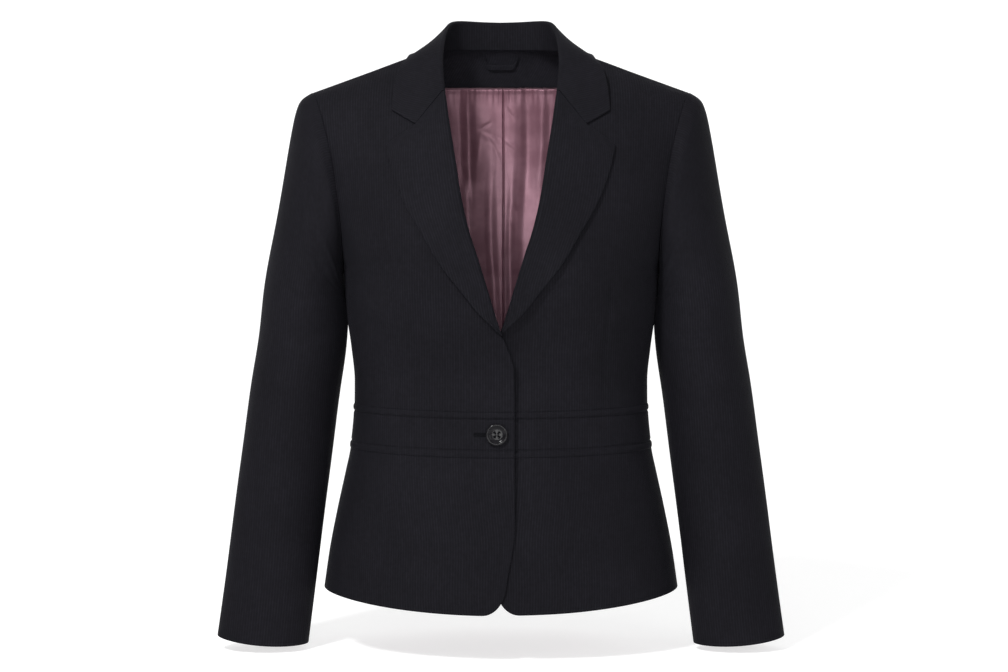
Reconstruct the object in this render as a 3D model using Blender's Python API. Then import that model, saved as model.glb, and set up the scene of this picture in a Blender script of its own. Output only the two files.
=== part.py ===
"""A woman's fitted pinstripe blazer, hollow and open as it is when it is worn.

Metres, +Z up, -Y is the front, and +X is the wearer's left. The origin lies in the neck
opening, level with the neck ends of the shoulder seams, where the wearer carries it.

The body is two surfaces, a front and a back. Each is a stack of rows, from the hem up to the
shoulder seam, and a row runs from the middle line out to the side seam or the armhole. Every
cut piece is a patch of one of these surfaces with the cloth's thickness. Lapels, collar and
hanger loop are made from points of the body, moved out. Tables are in millimetres.
"""

import math

import bmesh
import bpy
import numpy as np

MM = 0.001

# Cloth, in millimetres.
SHELL = 1.6  # suiting and its interlining
BAND = 2.0  # waistband, two plies
LEAF = 1.7  # lapel and collar, two plies
FACING = 1.2
LINING = 1.0
SEAM_GAP = 0.3
PLY_GAP = 0.8  # between a piece and what it lies on
BAND_LIFT = 0.7  # the waistband stands this much proud

# Driving sizes, in millimetres.
SIDE_SEAM_Y = 8.0
FRONT_EXTENSION = 14.5  # each front runs this far past the middle line
HEM_CORNER = 24.0  # rounded front corner at the hem
FOLD_RADIUS = 2.6  # middle of the cloth, round a lapel's or collar's fold
UNDER_FOLD = 9.0  # how far the cloth runs back inside below a lapel's fold
BUTTON_RADIUS = 11.5
BUTTON_THICK = 3.4
BUTTON_AT = (-4.2, -411.5)  # x and z
SLEEVE = 1.5
BREAK_Z = (-326.0, -308.0)  # where the front's free edge steps back under the lapel
UNDER_LAPEL = LEAF + 2.1  # and how far it steps back
CROSS_X = (22.0, 85.0)  # between these the two fronts come back to one surface
NECK_REACH = 0.385  # share of the shoulder's row where the back neckline ends
PEPLUM_SLANT = 10.5  # the front edge slants away this much towards the hem
SLANT_Z = (-505.0, -590.0)
# Soft swellings over the chest and the shoulder blades: height, x, half width, z, half height.
BUST = (6.5, 88.0, 46.0, -250.0, 44.0)
BLADE = (4.5, 74.0, 44.0, -140.0, 60.0)


def table(columns, rows):
    """A table as one array for each named column."""
    return dict(zip(columns.split(), np.array(rows, float).T))


# Levels are millimetres up the garment, counted along the side from the hem.
HEM, BAND_LOW, BAND_TOP, UNDERARM, SHOULDER = 0.0, 153.0, 197.0, 342.0, 560.0
NAPE = 531.0

# The middle lines: z, y, degrees that a row turns, how full its sides are, and the power of
# x by which its height changes from the middle line to the edge.
FRONT_MIDDLE = table(
    "level z y turn full bow",
    [
        (0, -599, -125, 90, 0.92, 2.2),
        (42, -551, -121, 90, 0.92, 2.0),
        (86, -504, -116, 90, 0.92, 2.0),
        (129, -460, -110, 90, 0.92, 2.0),
        (153, -436, -106, 90, 0.92, 2.0),
        (197, -388, -101, 90, 0.92, 2.0),
        (225, -361, -99.5, 90, 0.92, 2.0),
        (261, -325, -105, 90, 0.90, 2.0),
        (301, -285, -114, 90, 0.87, 2.0),
        (342, -245, -121, 90, 0.85, 2.0),
        (362, -226, -122.5, 80.6, 0.85, 2.0),
        (390, -200, -121, 70.6, 0.86, 1.9),
        (430, -158, -113, 61, 0.90, 1.7),
        (468, -112, -96, 50, 0.95, 1.4),
        (500, -68, -70, 38, 1.0, 1.2),
        (532, -22, -32, 23, 1.0, 1.05),
        (560, 27, 6, 14, 1.0, 1.0),
    ],
)
BACK_MIDDLE = table(
    "level z y turn full bow",
    [
        (0, -590, 121, 90, 0.92, 2.0),
        (42, -546, 115, 90, 0.92, 2.0),
        (86, -501, 107, 90, 0.92, 2.0),
        (129, -457, 97, 90, 0.92, 2.0),
        (153, -433, 91, 90, 0.92, 2.0),
        (197, -388, 84, 90, 0.92, 2.0),
        (225, -361, 83, 90, 0.92, 2.0),
        (261, -325, 89, 90, 0.89, 2.0),
        (301, -285, 99, 90, 0.84, 2.0),
        (342, -244, 107, 90, 0.80, 2.0),
        (362, -225, 110, 81.5, 0.80, 2.0),
        (390, -198, 113, 70.9, 0.82, 2.0),
        (430, -150, 115, 61.5, 0.87, 2.0),
        (468, -98, 111, 52, 0.93, 2.0),
        (500, -50, 101, 42, 1.0, 2.0),
        (531, 8, 78, 29, 1.0, 1.8),
        (560, 27, 6, 14, 1.0, 1.0),
    ],
)
SIDE_SEAM = table(
    "level x z",
    [
        (0, 193.7, -585.5),
        (42, 187.6, -544),
        (86, 179.0, -500),
        (129, 169.5, -457),
        (153, 164.5, -433),
        (197, 160.2, -385),
        (225, 159.2, -360),
        (261, 161.4, -324),
        (301, 165.5, -285),
        (342, 170.0, -243),
    ],
)
FRONT_ARMHOLE = table(
    "level x y z",
    [
        (342, 170.0, 8, -243),
        (362, 169.0, -20, -233),
        (390, 170.5, -42, -206),
        (430, 174.5, -52, -163),
        (468, 181.0, -46, -121),
        (500, 189.5, -33, -85),
        (532, 199.0, -15, -57),
        (548, 203.0, -4, -49.5),
        (560, 205.0, 6, -47),
    ],
)
BACK_ARMHOLE = table(
    "level x y z",
    [
        (342, 170.0, 8, -243),
        (362, 171.0, 31, -233),
        (390, 174.5, 51, -206),
        (430, 181.0, 61, -163),
        (468, 187.5, 56, -121),
        (500, 193.5, 43, -86),
        (532, 200.5, 25, -58),
        (548, 203.5, 15, -50),
        (560, 205.0, 6, -47),
    ],
)
# The edge of the opening, as the x of each height: neckline, roll line, then front edge.
OPENING = table(
    "z x",
    [
        (-560, -14.5),
        (-391, -14.5),
        (-345, -14.0),
        (-334, -11.4),
        (-301, 0.0),
        (-263, 12.6),
        (-228, 23.2),
        (-196, 33.4),
        (-164, 40.8),
        (-123, 47.5),
        (-81, 54.5),
        (-48, 59.6),
        (-24, 66.5),
        (0, 76.0),
        (20, 84.0),
    ],
)
# Half the space that the two fronts need where they cross.
OVERLAP = table(
    "z half",
    [
        (-600, 1.3),
        (-433, 1.3),
        (-385, 1.3),
        (-350, 2.2),
        (-320, 3.5),
        (-296, 3.8),
        (-268, 2.4),
        (-230, 0.7),
        (-190, 0.0),
        (40, 0.0),
    ],
)
# The lapel's outer edge in the front view.
LAPEL_EDGE = table(
    "z x",
    [
        (-304, 2.0),
        (-296, 9.5),
        (-286, 20.5),
        (-260, 41.5),
        (-233, 63.0),
        (-200, 82.5),
        (-166, 101.5),
        (-128, 115.5),
        (-108, 119.8),
    ],
)
GORGE_TOP = (59.6, -48.0)  # where the gorge seam meets the roll line, x and z
NOTCH = (88.5, -85.0)
COLLAR_TIP = (115.8, -70.5)
LAPEL_TIP = (119.8, -108.0)
# The collar, from the middle of the back round to the shoulder and on towards the gorge: the
# bottom of its stand (n), its fold (f) and the edge of its fall (e).
COLLAR = table(
    "along nx ny nz fx fy fz ex ey ez swell",
    [
        (0, 0, 72, 8, 0, 77, 37, 0, 89.5, -10, 1.2),
        (28, 28, 67, 7, 26, 74, 37, 36, 87.5, -11, 1.2),
        (56, 54, 50, 4, 50, 60, 36, 72.5, 76, -11.5, 2.2),
        (82, 70, 27, 0, 58.5, 34, 27, 92, 48, -10, 3.0),
        (108, 74.5, 4, -4.5, 61.5, 4, 10, 99.5, 12, -8.5, 2.6),
        (136, 66.6, -18, -18, 63.0, -20, -10, 109, -18, -21, 1.2),
    ],
)
COLLAR_LENGTH = 188.0  # as far as the gorge seam
COLLAR_ROOM = LEAF / 2 + 1.4  # from the body to the middle of the collar's cloth
COLLAR_LIFT = 0.3  # the collar's end lies this much higher than the lapel's
COLLAR_TUCK = 0.5  # how far the collar's end goes back inside
SLEEVE_RINGS = table(
    "x y z half_width half_depth tilt",
    [
        (213.6, 4.5, -276, 45.6, 60.0, 0.22),
        (216.8, 5.0, -318, 47.4, 57.5, 0.16),
        (223.2, 4.5, -360, 48.0, 54.0, 0.15),
        (231.2, 1.5, -420, 48.4, 49.0, 0.14),
        (239.5, -5.0, -485, 48.6, 43.5, 0.13),
        (249.4, -13.5, -567, 48.9, 37.5, 0.10),
        (258.6, -21.5, -640, 49.4, 33.5, 0.085),
    ],
)


def smooth(knots, values, at):
    """The natural cubic spline through values at knots, read at `at`."""
    knots, values = np.asarray(knots, float), np.asarray(values, float)
    shape = np.shape(at) + values.shape[1:]
    values = values.reshape(len(knots), -1)
    at = np.asarray(at, float).ravel()
    step = np.diff(knots)
    count = len(knots)
    system, right = np.eye(count), np.zeros_like(values)
    slope = np.diff(values, axis=0) / step[:, None]
    for i in range(1, count - 1):
        system[i, i - 1 : i + 2] = step[i - 1], 2 * (step[i - 1] + step[i]), step[i]
        right[i] = 6 * (slope[i] - slope[i - 1])
    bend = np.linalg.solve(system, right)
    i = np.clip(np.searchsorted(knots, at, side="right") - 1, 0, count - 2)
    wide = step[i]
    t = ((at - knots[i]) / wide)[:, None]
    straight = values[i] * (1 - t) + values[i + 1] * t
    low, high = (1 - t) ** 3 - (1 - t), t**3 - t
    curve = (wide**2 / 6)[:, None] * (low * bend[i] + high * bend[i + 1])
    return (straight + curve).reshape(shape)


def read(source, column, at, key="level"):
    """One column of a table, read smoothly at `at` without swinging past its rows.

    Cubics join the rows. A row's slope is the harmonic mean of the slopes on both sides of
    it, and 0 where they differ in sign.
    """
    knots, values = source[key], source[column]
    step = np.diff(knots)
    slope = np.diff(values) / step
    before, after = slope[:-1], slope[1:]
    same = before * after > 0
    safe_before, safe_after = np.where(same, before, 1), np.where(same, after, 1)
    weight = 2 * step[1:] + step[:-1], step[1:] + 2 * step[:-1]
    mean = sum(weight) / (weight[0] / safe_before + weight[1] / safe_after)
    tangent = np.concatenate([slope[:1], np.where(same, mean, 0), slope[-1:]])
    at = np.asarray(at, float)
    i = np.clip(np.searchsorted(knots, at, side="right") - 1, 0, len(knots) - 2)
    wide = step[i]
    t = (at - knots[i]) / wide
    ends = values[i] * (1 + 2 * t) * (1 - t) ** 2 + values[i + 1] * t**2 * (3 - 2 * t)
    bends = tangent[i] * t * (1 - t) ** 2 - tangent[i + 1] * t**2 * (1 - t)
    return ends + wide * bends


def ease(value, start, end):
    """0 at start, 1 at end, and smooth between."""
    t = np.clip((np.asarray(value, float) - start) / (end - start), 0, 1)
    return t * t * (3 - 2 * t)


def unit(vectors):
    return vectors / np.maximum(np.linalg.norm(vectors, axis=-1, keepdims=True), 1e-9)


def edge_of(front, level):
    """x, y and z of the side seam below the underarm, and of the armhole above it."""
    armhole = FRONT_ARMHOLE if front else BACK_ARMHOLE
    low, high = np.minimum(level, UNDERARM), np.maximum(level, UNDERARM)
    below = level <= UNDERARM
    x = np.where(below, read(SIDE_SEAM, "x", low), read(armhole, "x", high))
    y = np.where(below, SIDE_SEAM_Y, read(armhole, "y", high))
    z = np.where(below, read(SIDE_SEAM, "z", low), read(armhole, "z", high))
    return x, y, z


def height(front, x, level):
    """z of the row at x: it changes from the middle line to the edge by a power of x."""
    middle = FRONT_MIDDLE if front else BACK_MIDDLE
    edge_x, _, edge_z = edge_of(front, level)
    middle_z = read(middle, "z", level)
    share = np.abs(x / edge_x) ** read(middle, "bow", level)
    return middle_z + (edge_z - middle_z) * share


def cross_room(x, z):
    """How far each front moves out or in, where the two fronts cross."""
    half = np.interp(z, OVERLAP["z"], OVERLAP["half"])
    return half * (1 - ease(np.abs(x), *CROSS_X))


def swelling(x, z, size):
    """A bell-shaped hill on each side of the middle line."""
    high, at_x, wide, at_z, tall = size
    return high * np.exp(-(((np.abs(x) - at_x) / wide) ** 2) - ((z - at_z) / tall) ** 2)


def body(front, across, level, layer=0):
    """A point of the body's outer surface.

    across is 0 at the middle line and 1 at the side seam or armhole. A row is the part of an
    ellipse that turns by `turn` degrees. layer is 1 for the front that lies on top, and -1
    for the one below it.
    """
    middle = FRONT_MIDDLE if front else BACK_MIDDLE
    across, level = np.broadcast_arrays(
        np.asarray(across, float), np.asarray(level, float)
    )
    turn = np.radians(read(middle, "turn", level))
    edge_x, edge_y, _ = edge_of(front, level)
    x = edge_x * np.sin(across * turn) / np.sin(turn)
    full = read(middle, "full", level)
    last = np.clip(np.cos(turn), 0, 1) ** full
    share = (np.clip(np.cos(across * turn), 0, 1) ** full - last) / (1 - last)
    y = edge_y + (read(middle, "y", level) - edge_y) * share
    z = height(front, x, level)
    free = 1 - np.clip(np.abs(across), 0, 1) ** 6
    if front:
        y = y - swelling(x, z, BUST) * free - layer * cross_room(x, z)
    else:
        y = y + swelling(x, z, BLADE) * free
    return np.stack([x, y, z], axis=-1)


def outward(front, across, level, layer=0):
    """The body's outward normal there."""
    step = 1e-3
    over = body(front, across + step, level, layer) - body(
        front, across - step, level, layer
    )
    up = body(front, across, level + 0.2, layer) - body(
        front, across, level - 0.2, layer
    )
    normal = np.cross(over, up) if front else np.cross(up, over)
    return unit(normal)


def level_at(x, z):
    """The level of the front's row that passes through x and z in the front view."""
    x, z = np.broadcast_arrays(np.asarray(x, float), np.asarray(z, float))
    low, high = np.full(x.shape, HEM), np.full(x.shape, SHOULDER)
    for _ in range(30):
        level = (low + high) / 2
        above = height(True, x, level) > z
        low, high = np.where(above, low, level), np.where(above, level, high)
    return (low + high) / 2


def across_at(x, level):
    """How far across a row of the front x lies."""
    turn = np.radians(read(FRONT_MIDDLE, "turn", level))
    sine = np.clip(x * np.sin(turn) / edge_of(True, level)[0], -1, 1)
    return np.arcsin(sine) / turn


def on_front(x, z, lift, layer):
    """The point of the front seen at x and z from straight ahead, moved out by lift."""
    level = level_at(x, z)
    across = across_at(x, level)
    point = body(True, across, level, layer)
    normal = outward(True, across, level, layer)
    return point + np.asarray(lift, float)[..., None] * normal, normal


def opening_x(level, spare):
    """x of the front's free edge on a row, moved out by spare above the lapel's break."""
    x = np.zeros_like(level)
    for _ in range(12):
        z = height(True, x, level)
        x = read(OPENING, "x", z, "z") + spare * ease(z, *BREAK_Z)
    return x


def inset(grid, sides, gap=SEAM_GAP / 2):
    """Draws the named sides of a grid of points in, to leave the gap at a seam."""
    grid = grid.copy()
    if "first_row" in sides:
        grid[0] += gap * unit(grid[1] - grid[0])
    if "last_row" in sides:
        grid[-1] += gap * unit(grid[-2] - grid[-1])
    if "first_column" in sides:
        grid[:, 0] += gap * unit(grid[:, 1] - grid[:, 0])
    if "last_column" in sides:
        grid[:, -1] += gap * unit(grid[:, -2] - grid[:, -1])
    return grid


def material(name, colour, roughness):
    found = bpy.data.materials.get(name)
    if found:
        return found
    made = bpy.data.materials.new(name)
    made.use_nodes = True
    shader = made.node_tree.nodes["Principled BSDF"]
    shader.inputs["Base Color"].default_value = (*colour, 1)
    shader.inputs["Roughness"].default_value = roughness
    shader.inputs["Metallic"].default_value = 0.0
    return made


def suiting():
    return material("suiting", (0.011, 0.011, 0.014), 0.85)


def satin():
    return material("satin_lining", (0.19, 0.085, 0.105), 0.35)


def horn():
    return material("button", (0.010, 0.010, 0.013), 0.28)


def add(name, mesh_data, finish):
    """A named object from a bmesh in millimetres, with its faces turned outwards."""
    bmesh.ops.recalc_face_normals(mesh_data, faces=mesh_data.faces)
    bmesh.ops.scale(mesh_data, vec=(MM, MM, MM), verts=mesh_data.verts)
    mesh = bpy.data.meshes.new(name)
    mesh_data.to_mesh(mesh)
    mesh_data.free()
    mesh.shade_smooth()
    mesh.set_sharp_from_angle(angle=math.radians(40))
    mesh.materials.append(finish)
    bpy.context.scene.collection.objects.link(bpy.data.objects.new(name, mesh))


def wall(name, outer, inner, finish):
    """A closed wall between two grids of points, with the same diagonals on both faces."""
    rows, columns = outer.shape[:2]
    made = bmesh.new()
    sheets = [
        [[made.verts.new(point) for point in row] for row in grid]
        for grid in (outer, inner)
    ]
    for sheet in sheets:
        for i in range(rows - 1):
            for j in range(columns - 1):
                a, b = sheet[i][j], sheet[i][j + 1]
                c, d = sheet[i + 1][j + 1], sheet[i + 1][j]
                made.faces.new((a, b, c))
                made.faces.new((a, c, d))
    rim = [(0, j) for j in range(columns)]
    rim += [(i, columns - 1) for i in range(1, rows)]
    rim += [(rows - 1, j) for j in range(columns - 2, -1, -1)]
    rim += [(i, 0) for i in range(rows - 2, 0, -1)]
    for (i, j), (k, m) in zip(rim, rim[1:] + rim[:1]):
        made.faces.new((sheets[0][i][j], sheets[0][k][m], sheets[1][k][m], sheets[1][i][j]))
    add(name, made, finish)


def mirrored(grid):
    return grid * np.array([-1.0, 1.0, 1.0])


def sides():
    """The wearer's left, whose front lies below, and the wearer's right, on top."""
    return (("left", -1, lambda grid: grid), ("right", 1, mirrored))


def grid_of(starts, ends, levels, count, power=1.0):
    """(across, level) grids whose rows run from starts to ends."""
    share = np.linspace(0, 1, count) ** power
    across = starts[:, None] + (ends - starts)[:, None] * share
    return across, np.repeat(levels[:, None], count, axis=1)


def patch(front, across, level, layer, thick, lift=0.0, seams=(), flat=()):
    """Outer and inner grids of a piece of the body. flat names normals' parts set to 0 where
    two pieces must share the plane of their seam."""
    outer = body(front, across, level, layer)
    normal = outward(front, across, level, layer)
    for where, axis in flat:
        normal[where, ..., axis] = 0
    normal = unit(normal)
    outer = inset(outer + lift * normal, seams)
    return outer, outer - thick * normal


# ---------------------------------------------------------------- fronts and backs

ARMHOLE_LEVELS = np.array([353, 366, 383, 404, 430, 457, 483, 500, 512, 522, 531, 546, 560.0])
BODICE_LEVELS = np.concatenate([[197, 225, 254, 283, 312, 342.0], ARMHOLE_LEVELS])


def front_bodice():
    """The upper fronts, from the waistband to the shoulder, under the lapels."""
    levels = BODICE_LEVELS
    start_x = opening_x(levels, UNDER_LAPEL)
    starts = across_at(start_x, levels)
    across, level = grid_of(starts, np.ones_like(levels), levels, 12, 0.92)
    for side, layer, turn in sides():
        outer, inner = patch(
            True,
            across,
            level,
            layer,
            SHELL,
            seams=("first_row", "last_row", "last_column"),
            flat=((-1, 1),),
        )
        wall(f"front_{side}", turn(outer), turn(inner), suiting())


def neck_start(levels):
    """How far across a row of the back its neckline lies: 0 below the nape, then an arc."""
    rise = np.clip((SHOULDER - levels) / (SHOULDER - NAPE), 0, 1)
    return NECK_REACH * np.sqrt(1 - rise**2)


def back_bodice():
    """The upper backs, joined down the middle."""
    levels = np.concatenate([BODICE_LEVELS[BODICE_LEVELS < 546], [537, 546, 553, 560.0]])
    across, level = grid_of(neck_start(levels), np.ones_like(levels), levels, 11)
    below = levels <= NAPE
    for side, _, turn in sides():
        outer, inner = patch(
            False,
            across,
            level,
            0,
            SHELL,
            seams=("first_row", "last_row", "last_column"),
            flat=((-1, 1),),
        )
        for grid in (outer, inner):
            grid[below, 0, 0] = SEAM_GAP / 2
        wall(f"back_{side}", turn(outer), turn(inner), suiting())


# ---------------------------------------------------------------- waistband and peplum


def band():
    """The waistband: two fronts, which cross, and a back between the side seams."""
    levels = np.linspace(BAND_LOW, BAND_TOP, 3)
    starts = across_at(np.full(3, -FRONT_EXTENSION), levels)
    across, level = grid_of(starts, np.ones(3), levels, 12, 0.92)
    for side, layer, turn in sides():
        outer, inner = patch(
            True,
            across,
            level,
            layer,
            BAND,
            lift=BAND_LIFT,
            seams=("first_row", "last_row", "last_column"),
        )
        wall(f"waistband_front_{side}", turn(outer), turn(inner), suiting())
    across, level = grid_of(-np.ones(3), np.ones(3), levels, 21)
    outer, inner = patch(
        False,
        across,
        level,
        0,
        BAND,
        lift=BAND_LIFT,
        seams=("first_row", "last_row", "first_column", "last_column"),
    )
    wall("waistband_back", outer, inner, suiting())


def peplum_edge(z):
    """x of the front edge below the waistband, which slants away above the corner."""
    return -FRONT_EXTENSION + PEPLUM_SLANT * ease(z, *SLANT_Z)


def peplum_fronts():
    """The lower fronts, with a rounded corner where the edge meets the hem."""
    drop = np.linspace(0, 1, 8)
    columns = 14
    round_columns = 5
    corner = 1 - np.cos(np.linspace(0, math.pi / 2, round_columns))
    for side, layer, turn in sides():
        levels = np.zeros((len(drop), columns))
        across = np.zeros_like(levels)
        for j in range(columns):
            if j < round_columns:
                run = HEM_CORNER * corner[j]
                lift = HEM_CORNER * (1 - math.sqrt(1 - (1 - corner[j]) ** 2))
            else:
                run, lift = HEM_CORNER, 0.0
            column = BAND_LOW + (HEM + lift - BAND_LOW) * drop
            edge = peplum_edge(read(FRONT_MIDDLE, "z", column))
            start = across_at(edge + run, column)
            share = max(0, j - round_columns + 1) / (columns - round_columns)
            levels[:, j] = column
            across[:, j] = start + (1 - start) * share
        outer, inner = patch(
            True, across, levels, layer, SHELL, seams=("first_row", "last_column")
        )
        wall(f"peplum_front_{side}", turn(outer), turn(inner), suiting())


def peplum_back():
    levels = np.linspace(BAND_LOW, HEM, 8)
    across, level = grid_of(np.zeros(8), np.ones(8), levels, 11)
    for side, _, turn in sides():
        outer, inner = patch(
            False, across, level, 0, SHELL, seams=("first_row", "last_column")
        )
        for grid in (outer, inner):
            grid[:, 0, 0] = SEAM_GAP / 2
        wall(f"peplum_back_{side}", turn(outer), turn(inner), suiting())


# ---------------------------------------------------------------- lapels and collar


def fold(centre, top, out):
    """Half a turn of the cloth's middle round a fold: from the inner leaf to the outer."""
    turn = np.radians([0, 36, 72, 108, 144, 180])[:, None]
    return centre + FOLD_RADIUS * (np.sin(turn) * top - np.cos(turn) * out)


def thickened(path, thick):
    """Outer and inner grids on both sides of a middle surface, given row by row."""
    over = np.gradient(path, axis=1)
    along = np.gradient(path, axis=0)
    normal = unit(np.cross(over, along))
    return path + thick / 2 * normal, path - thick / 2 * normal


def kink(share, at):
    """1 at `at`, falling straight to 0 at both ends."""
    return np.where(share < at, share / at, (1 - share) / (1 - at))


NOTCH_SHARE = 0.5
LAPEL_ROWS = table(
    "roll_z edge_z",
    [
        (-308, -304),
        (-302, -296),
        (-289, -282),
        (-268, -262),
        (-245, -239),
        (-222, -217),
        (-198, -196),
        (-170, -176),
        (-142, -158),
        (-114, -141),
        (-90, -128),
        (-69, -116),
        (-48, -106),
    ],
)
LEAF_SHARES = np.array([0.12, 0.3, NOTCH_SHARE, 0.68, 0.84, 1.0])
LAPEL_BELLY = (2.0, -262.0, 48.0)  # the lapel stands off the chest: height, z, half height
LEAST_LEAF = 4.0  # the lapel's width where it begins
BREAK_FOLD = 2.0  # there the cloth goes back inside this far, and UNDER_FOLD from DEEP_Z up
DEEP_Z = (-300.0, -250.0)


def lapel_row(x, z, edge, bend, lift, layer, run):
    """The middle of a lapel's cloth on one row: back inside, round the fold, and out.

    x and z are the roll line in the front view, edge is the row's outer end, bend moves the
    row at the notch, and run is how far the cloth goes back inside.
    """
    away = np.array([edge[0] - x, edge[1] - z])
    away = away / np.hypot(*away)
    reach = FOLD_RADIUS + LEAF / 2
    centre_at = np.array([x, z]) + away * reach
    centre, out = on_front(*centre_at, -SHELL / 2, layer)
    ahead, _ = on_front(*(centre_at + away * 2), -SHELL / 2, layer)
    top = -unit(ahead - centre)
    inside_at = centre_at + away * run
    inside, _ = on_front(*inside_at, -SHELL / 2 - FOLD_RADIUS, layer)
    shares = LEAF_SHARES[:, None]
    places = centre_at + (np.array(edge) - centre_at) * shares
    places = places + np.array(bend) * kink(shares, NOTCH_SHARE)
    settle = FOLD_RADIUS - SHELL / 2
    rest = PLY_GAP + LEAF / 2 + lift
    lifts = settle + (rest - settle) * ease(LEAF_SHARES, 0, 0.9)
    leaf, _ = on_front(places[:, 0], places[:, 1], lifts, layer)
    middle = fold(centre, top, out)
    return np.concatenate([[inside], middle, leaf])


def lapels():
    """Each lapel wraps the front's free edge, from its break up to the gorge seam."""
    for side, layer, turn in sides():
        path = []
        for high, low in zip(LAPEL_ROWS["edge_z"], LAPEL_ROWS["roll_z"]):
            x = float(read(OPENING, "x", low, "z"))
            edge = [float(read(LAPEL_EDGE, "x", high, "z")), high]
            last = low == LAPEL_ROWS["roll_z"][-1]
            if last:
                edge = list(LAPEL_TIP)
            edge[0] = max(edge[0], x + LEAST_LEAF)
            bend = np.zeros(2)
            if last:
                bend = np.array(NOTCH) - (np.array(GORGE_TOP) + edge) / 2
            belly, at_z, tall = LAPEL_BELLY
            lift = belly * math.exp(-(((high - at_z) / tall) ** 2))
            run = BREAK_FOLD + (UNDER_FOLD - BREAK_FOLD) * float(ease(low, *DEEP_Z))
            path.append(lapel_row(x, low, edge, bend, lift, layer, run))
        path = inset(np.array(path), ("last_row",))
        outer, inner = thickened(path, LEAF)
        wall(f"lapel_{side}", turn(outer), turn(inner), suiting())


def collar_row(stand, crest, edge, swell):
    """The middle of the collar's cloth on one row: up the stand, over the fold, and down
    the fall, which bows out by swell."""
    down, fall = unit(stand - crest), unit(edge - crest)
    out = unit(fall - down)
    top = -unit(down + fall)
    centre = crest - top * (FOLD_RADIUS + LEAF / 2)
    middle = fold(centre, top, out)
    shares = LEAF_SHARES[:, None]
    leaf = middle[-1] + (edge - middle[-1]) * shares
    leaf = leaf + out * swell * 4 * shares * (1 - shares)
    return np.concatenate([[stand, (stand + middle[0]) / 2], middle, leaf])


def neck_surface():
    """Close points of the body round the neck, with its outward normals."""
    points, normals = [], []
    for front, low in ((True, 440), (False, 470)):
        levels = np.linspace(low, SHOULDER, 70)
        starts = neck_start(levels)
        if front:
            starts = across_at(opening_x(levels, 0), levels)
        across, level = grid_of(starts, np.full_like(levels, 0.8), levels, 70)
        points.append(body(front, across, level).reshape(-1, 3))
        normals.append(outward(front, across, level).reshape(-1, 3))
    return np.concatenate(points), np.concatenate(normals)


def clear_of_body(grid, room):
    """Moves points out along the body's normals, until all are at least room outside it."""
    points, normals = neck_surface()
    flat = grid.reshape(-1, 3).copy()
    for i, point in enumerate(flat):
        nearest = np.argmin(((points - point) ** 2).sum(axis=1))
        away, normal = point - points[nearest], normals[nearest]
        out = away @ normal
        if out < room and np.linalg.norm(away - out * normal) < 2.5:
            flat[i] = point + (room - out) * normal
    return flat.reshape(grid.shape)


def collar():
    """One folded piece, round the back of the neck from gorge to gorge."""
    spots = {
        key: np.stack([COLLAR[key + axis] for axis in "xyz"], -1) for key in "nfe"
    }
    keys = [
        collar_row(*row)
        for row in zip(spots["n"], spots["f"], spots["e"], COLLAR["swell"])
    ]
    bend = np.array(NOTCH) - (np.array(GORGE_TOP) + np.array(COLLAR_TIP)) / 2
    last = lapel_row(*GORGE_TOP, COLLAR_TIP, bend, COLLAR_LIFT, 0, COLLAR_TUCK)
    last = np.concatenate([[last[0]], [(last[0] + last[1]) / 2], last[1:]])
    knots = np.append(COLLAR["along"], COLLAR_LENGTH)
    stations = np.linspace(0, COLLAR_LENGTH, 20)
    rows = smooth(knots, np.array(keys + [last]), stations)
    rows[0, :, 0] = 0
    rows[:-1] = clear_of_body(rows[:-1], COLLAR_ROOM)
    half = inset(rows, ("last_row",))
    whole = np.concatenate([mirrored(half[:0:-1]), half])
    outer, inner = thickened(whole, LEAF)
    wall("collar", outer, inner, suiting())


# ---------------------------------------------------------------- sleeves

FRONT_SEAM, BACK_SEAM = 156.0, 300.0  # degrees round the sleeve
SLEEVE_SEAM_GAP = 0.22
HEAD = 15.5  # how far the sleeve's head stands out past the shoulder
HEAD_LOW = 0.25  # the share of it that stays low down in front and behind
UNDERARM_FADE = 0.06
ROPE = 0.05  # the share of the way to the widest ring in which the head rises
HEAD_LENGTH = 240.0  # down the sleeve from the shoulder to that ring
SETTING_ROOM = (0.3, 1.9)  # from the armhole, at the shoulder and more at the underarm


def armhole(front):
    """The armhole from the shoulder down to the underarm, and the body's normals there."""
    levels = np.concatenate([[UNDERARM], ARMHOLE_LEVELS])[::-1]
    across = np.ones_like(levels)
    return body(front, across, levels), outward(front, across, levels)


def sleeve_frame():
    """Round the sleeve, one column for each point of the armhole: its points, its normals
    and its angle, 0 at the shoulder, 90 in front, 180 at the underarm and 270 behind."""
    front, front_out = armhole(True)
    back, back_out = armhole(False)
    points = np.concatenate([front, back[::-1][1:]])
    normals = np.concatenate([front_out, back_out[::-1][1:]])
    normals[[0, -1]] = unit(normals[0] + normals[-1])
    heights = points[:, 2]
    low = (heights.max() - heights) / np.ptp(heights)
    points = points + (SETTING_ROOM[0] + SETTING_ROOM[1] * low)[:, None] * normals
    turns = []
    for half in (front, back[::-1]):
        run = np.concatenate(
            [[0], np.cumsum(np.linalg.norm(np.diff(half, axis=0), axis=1))]
        )
        turns.append(180 * run / run[-1])
    return points, normals, np.concatenate([turns[0], 180 + turns[1][1:]])


def sleeve_ring(turns, index):
    """Points of one ring of the sleeve's table."""
    ring = {key: column[index] for key, column in SLEEVE_RINGS.items()}
    angle = np.radians(turns)
    x = ring["half_width"] * np.cos(angle)
    y = -ring["half_depth"] * np.sin(angle)
    return np.stack([ring["x"] + x, ring["y"] + y, ring["z"] + ring["tilt"] * x], -1)


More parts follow.
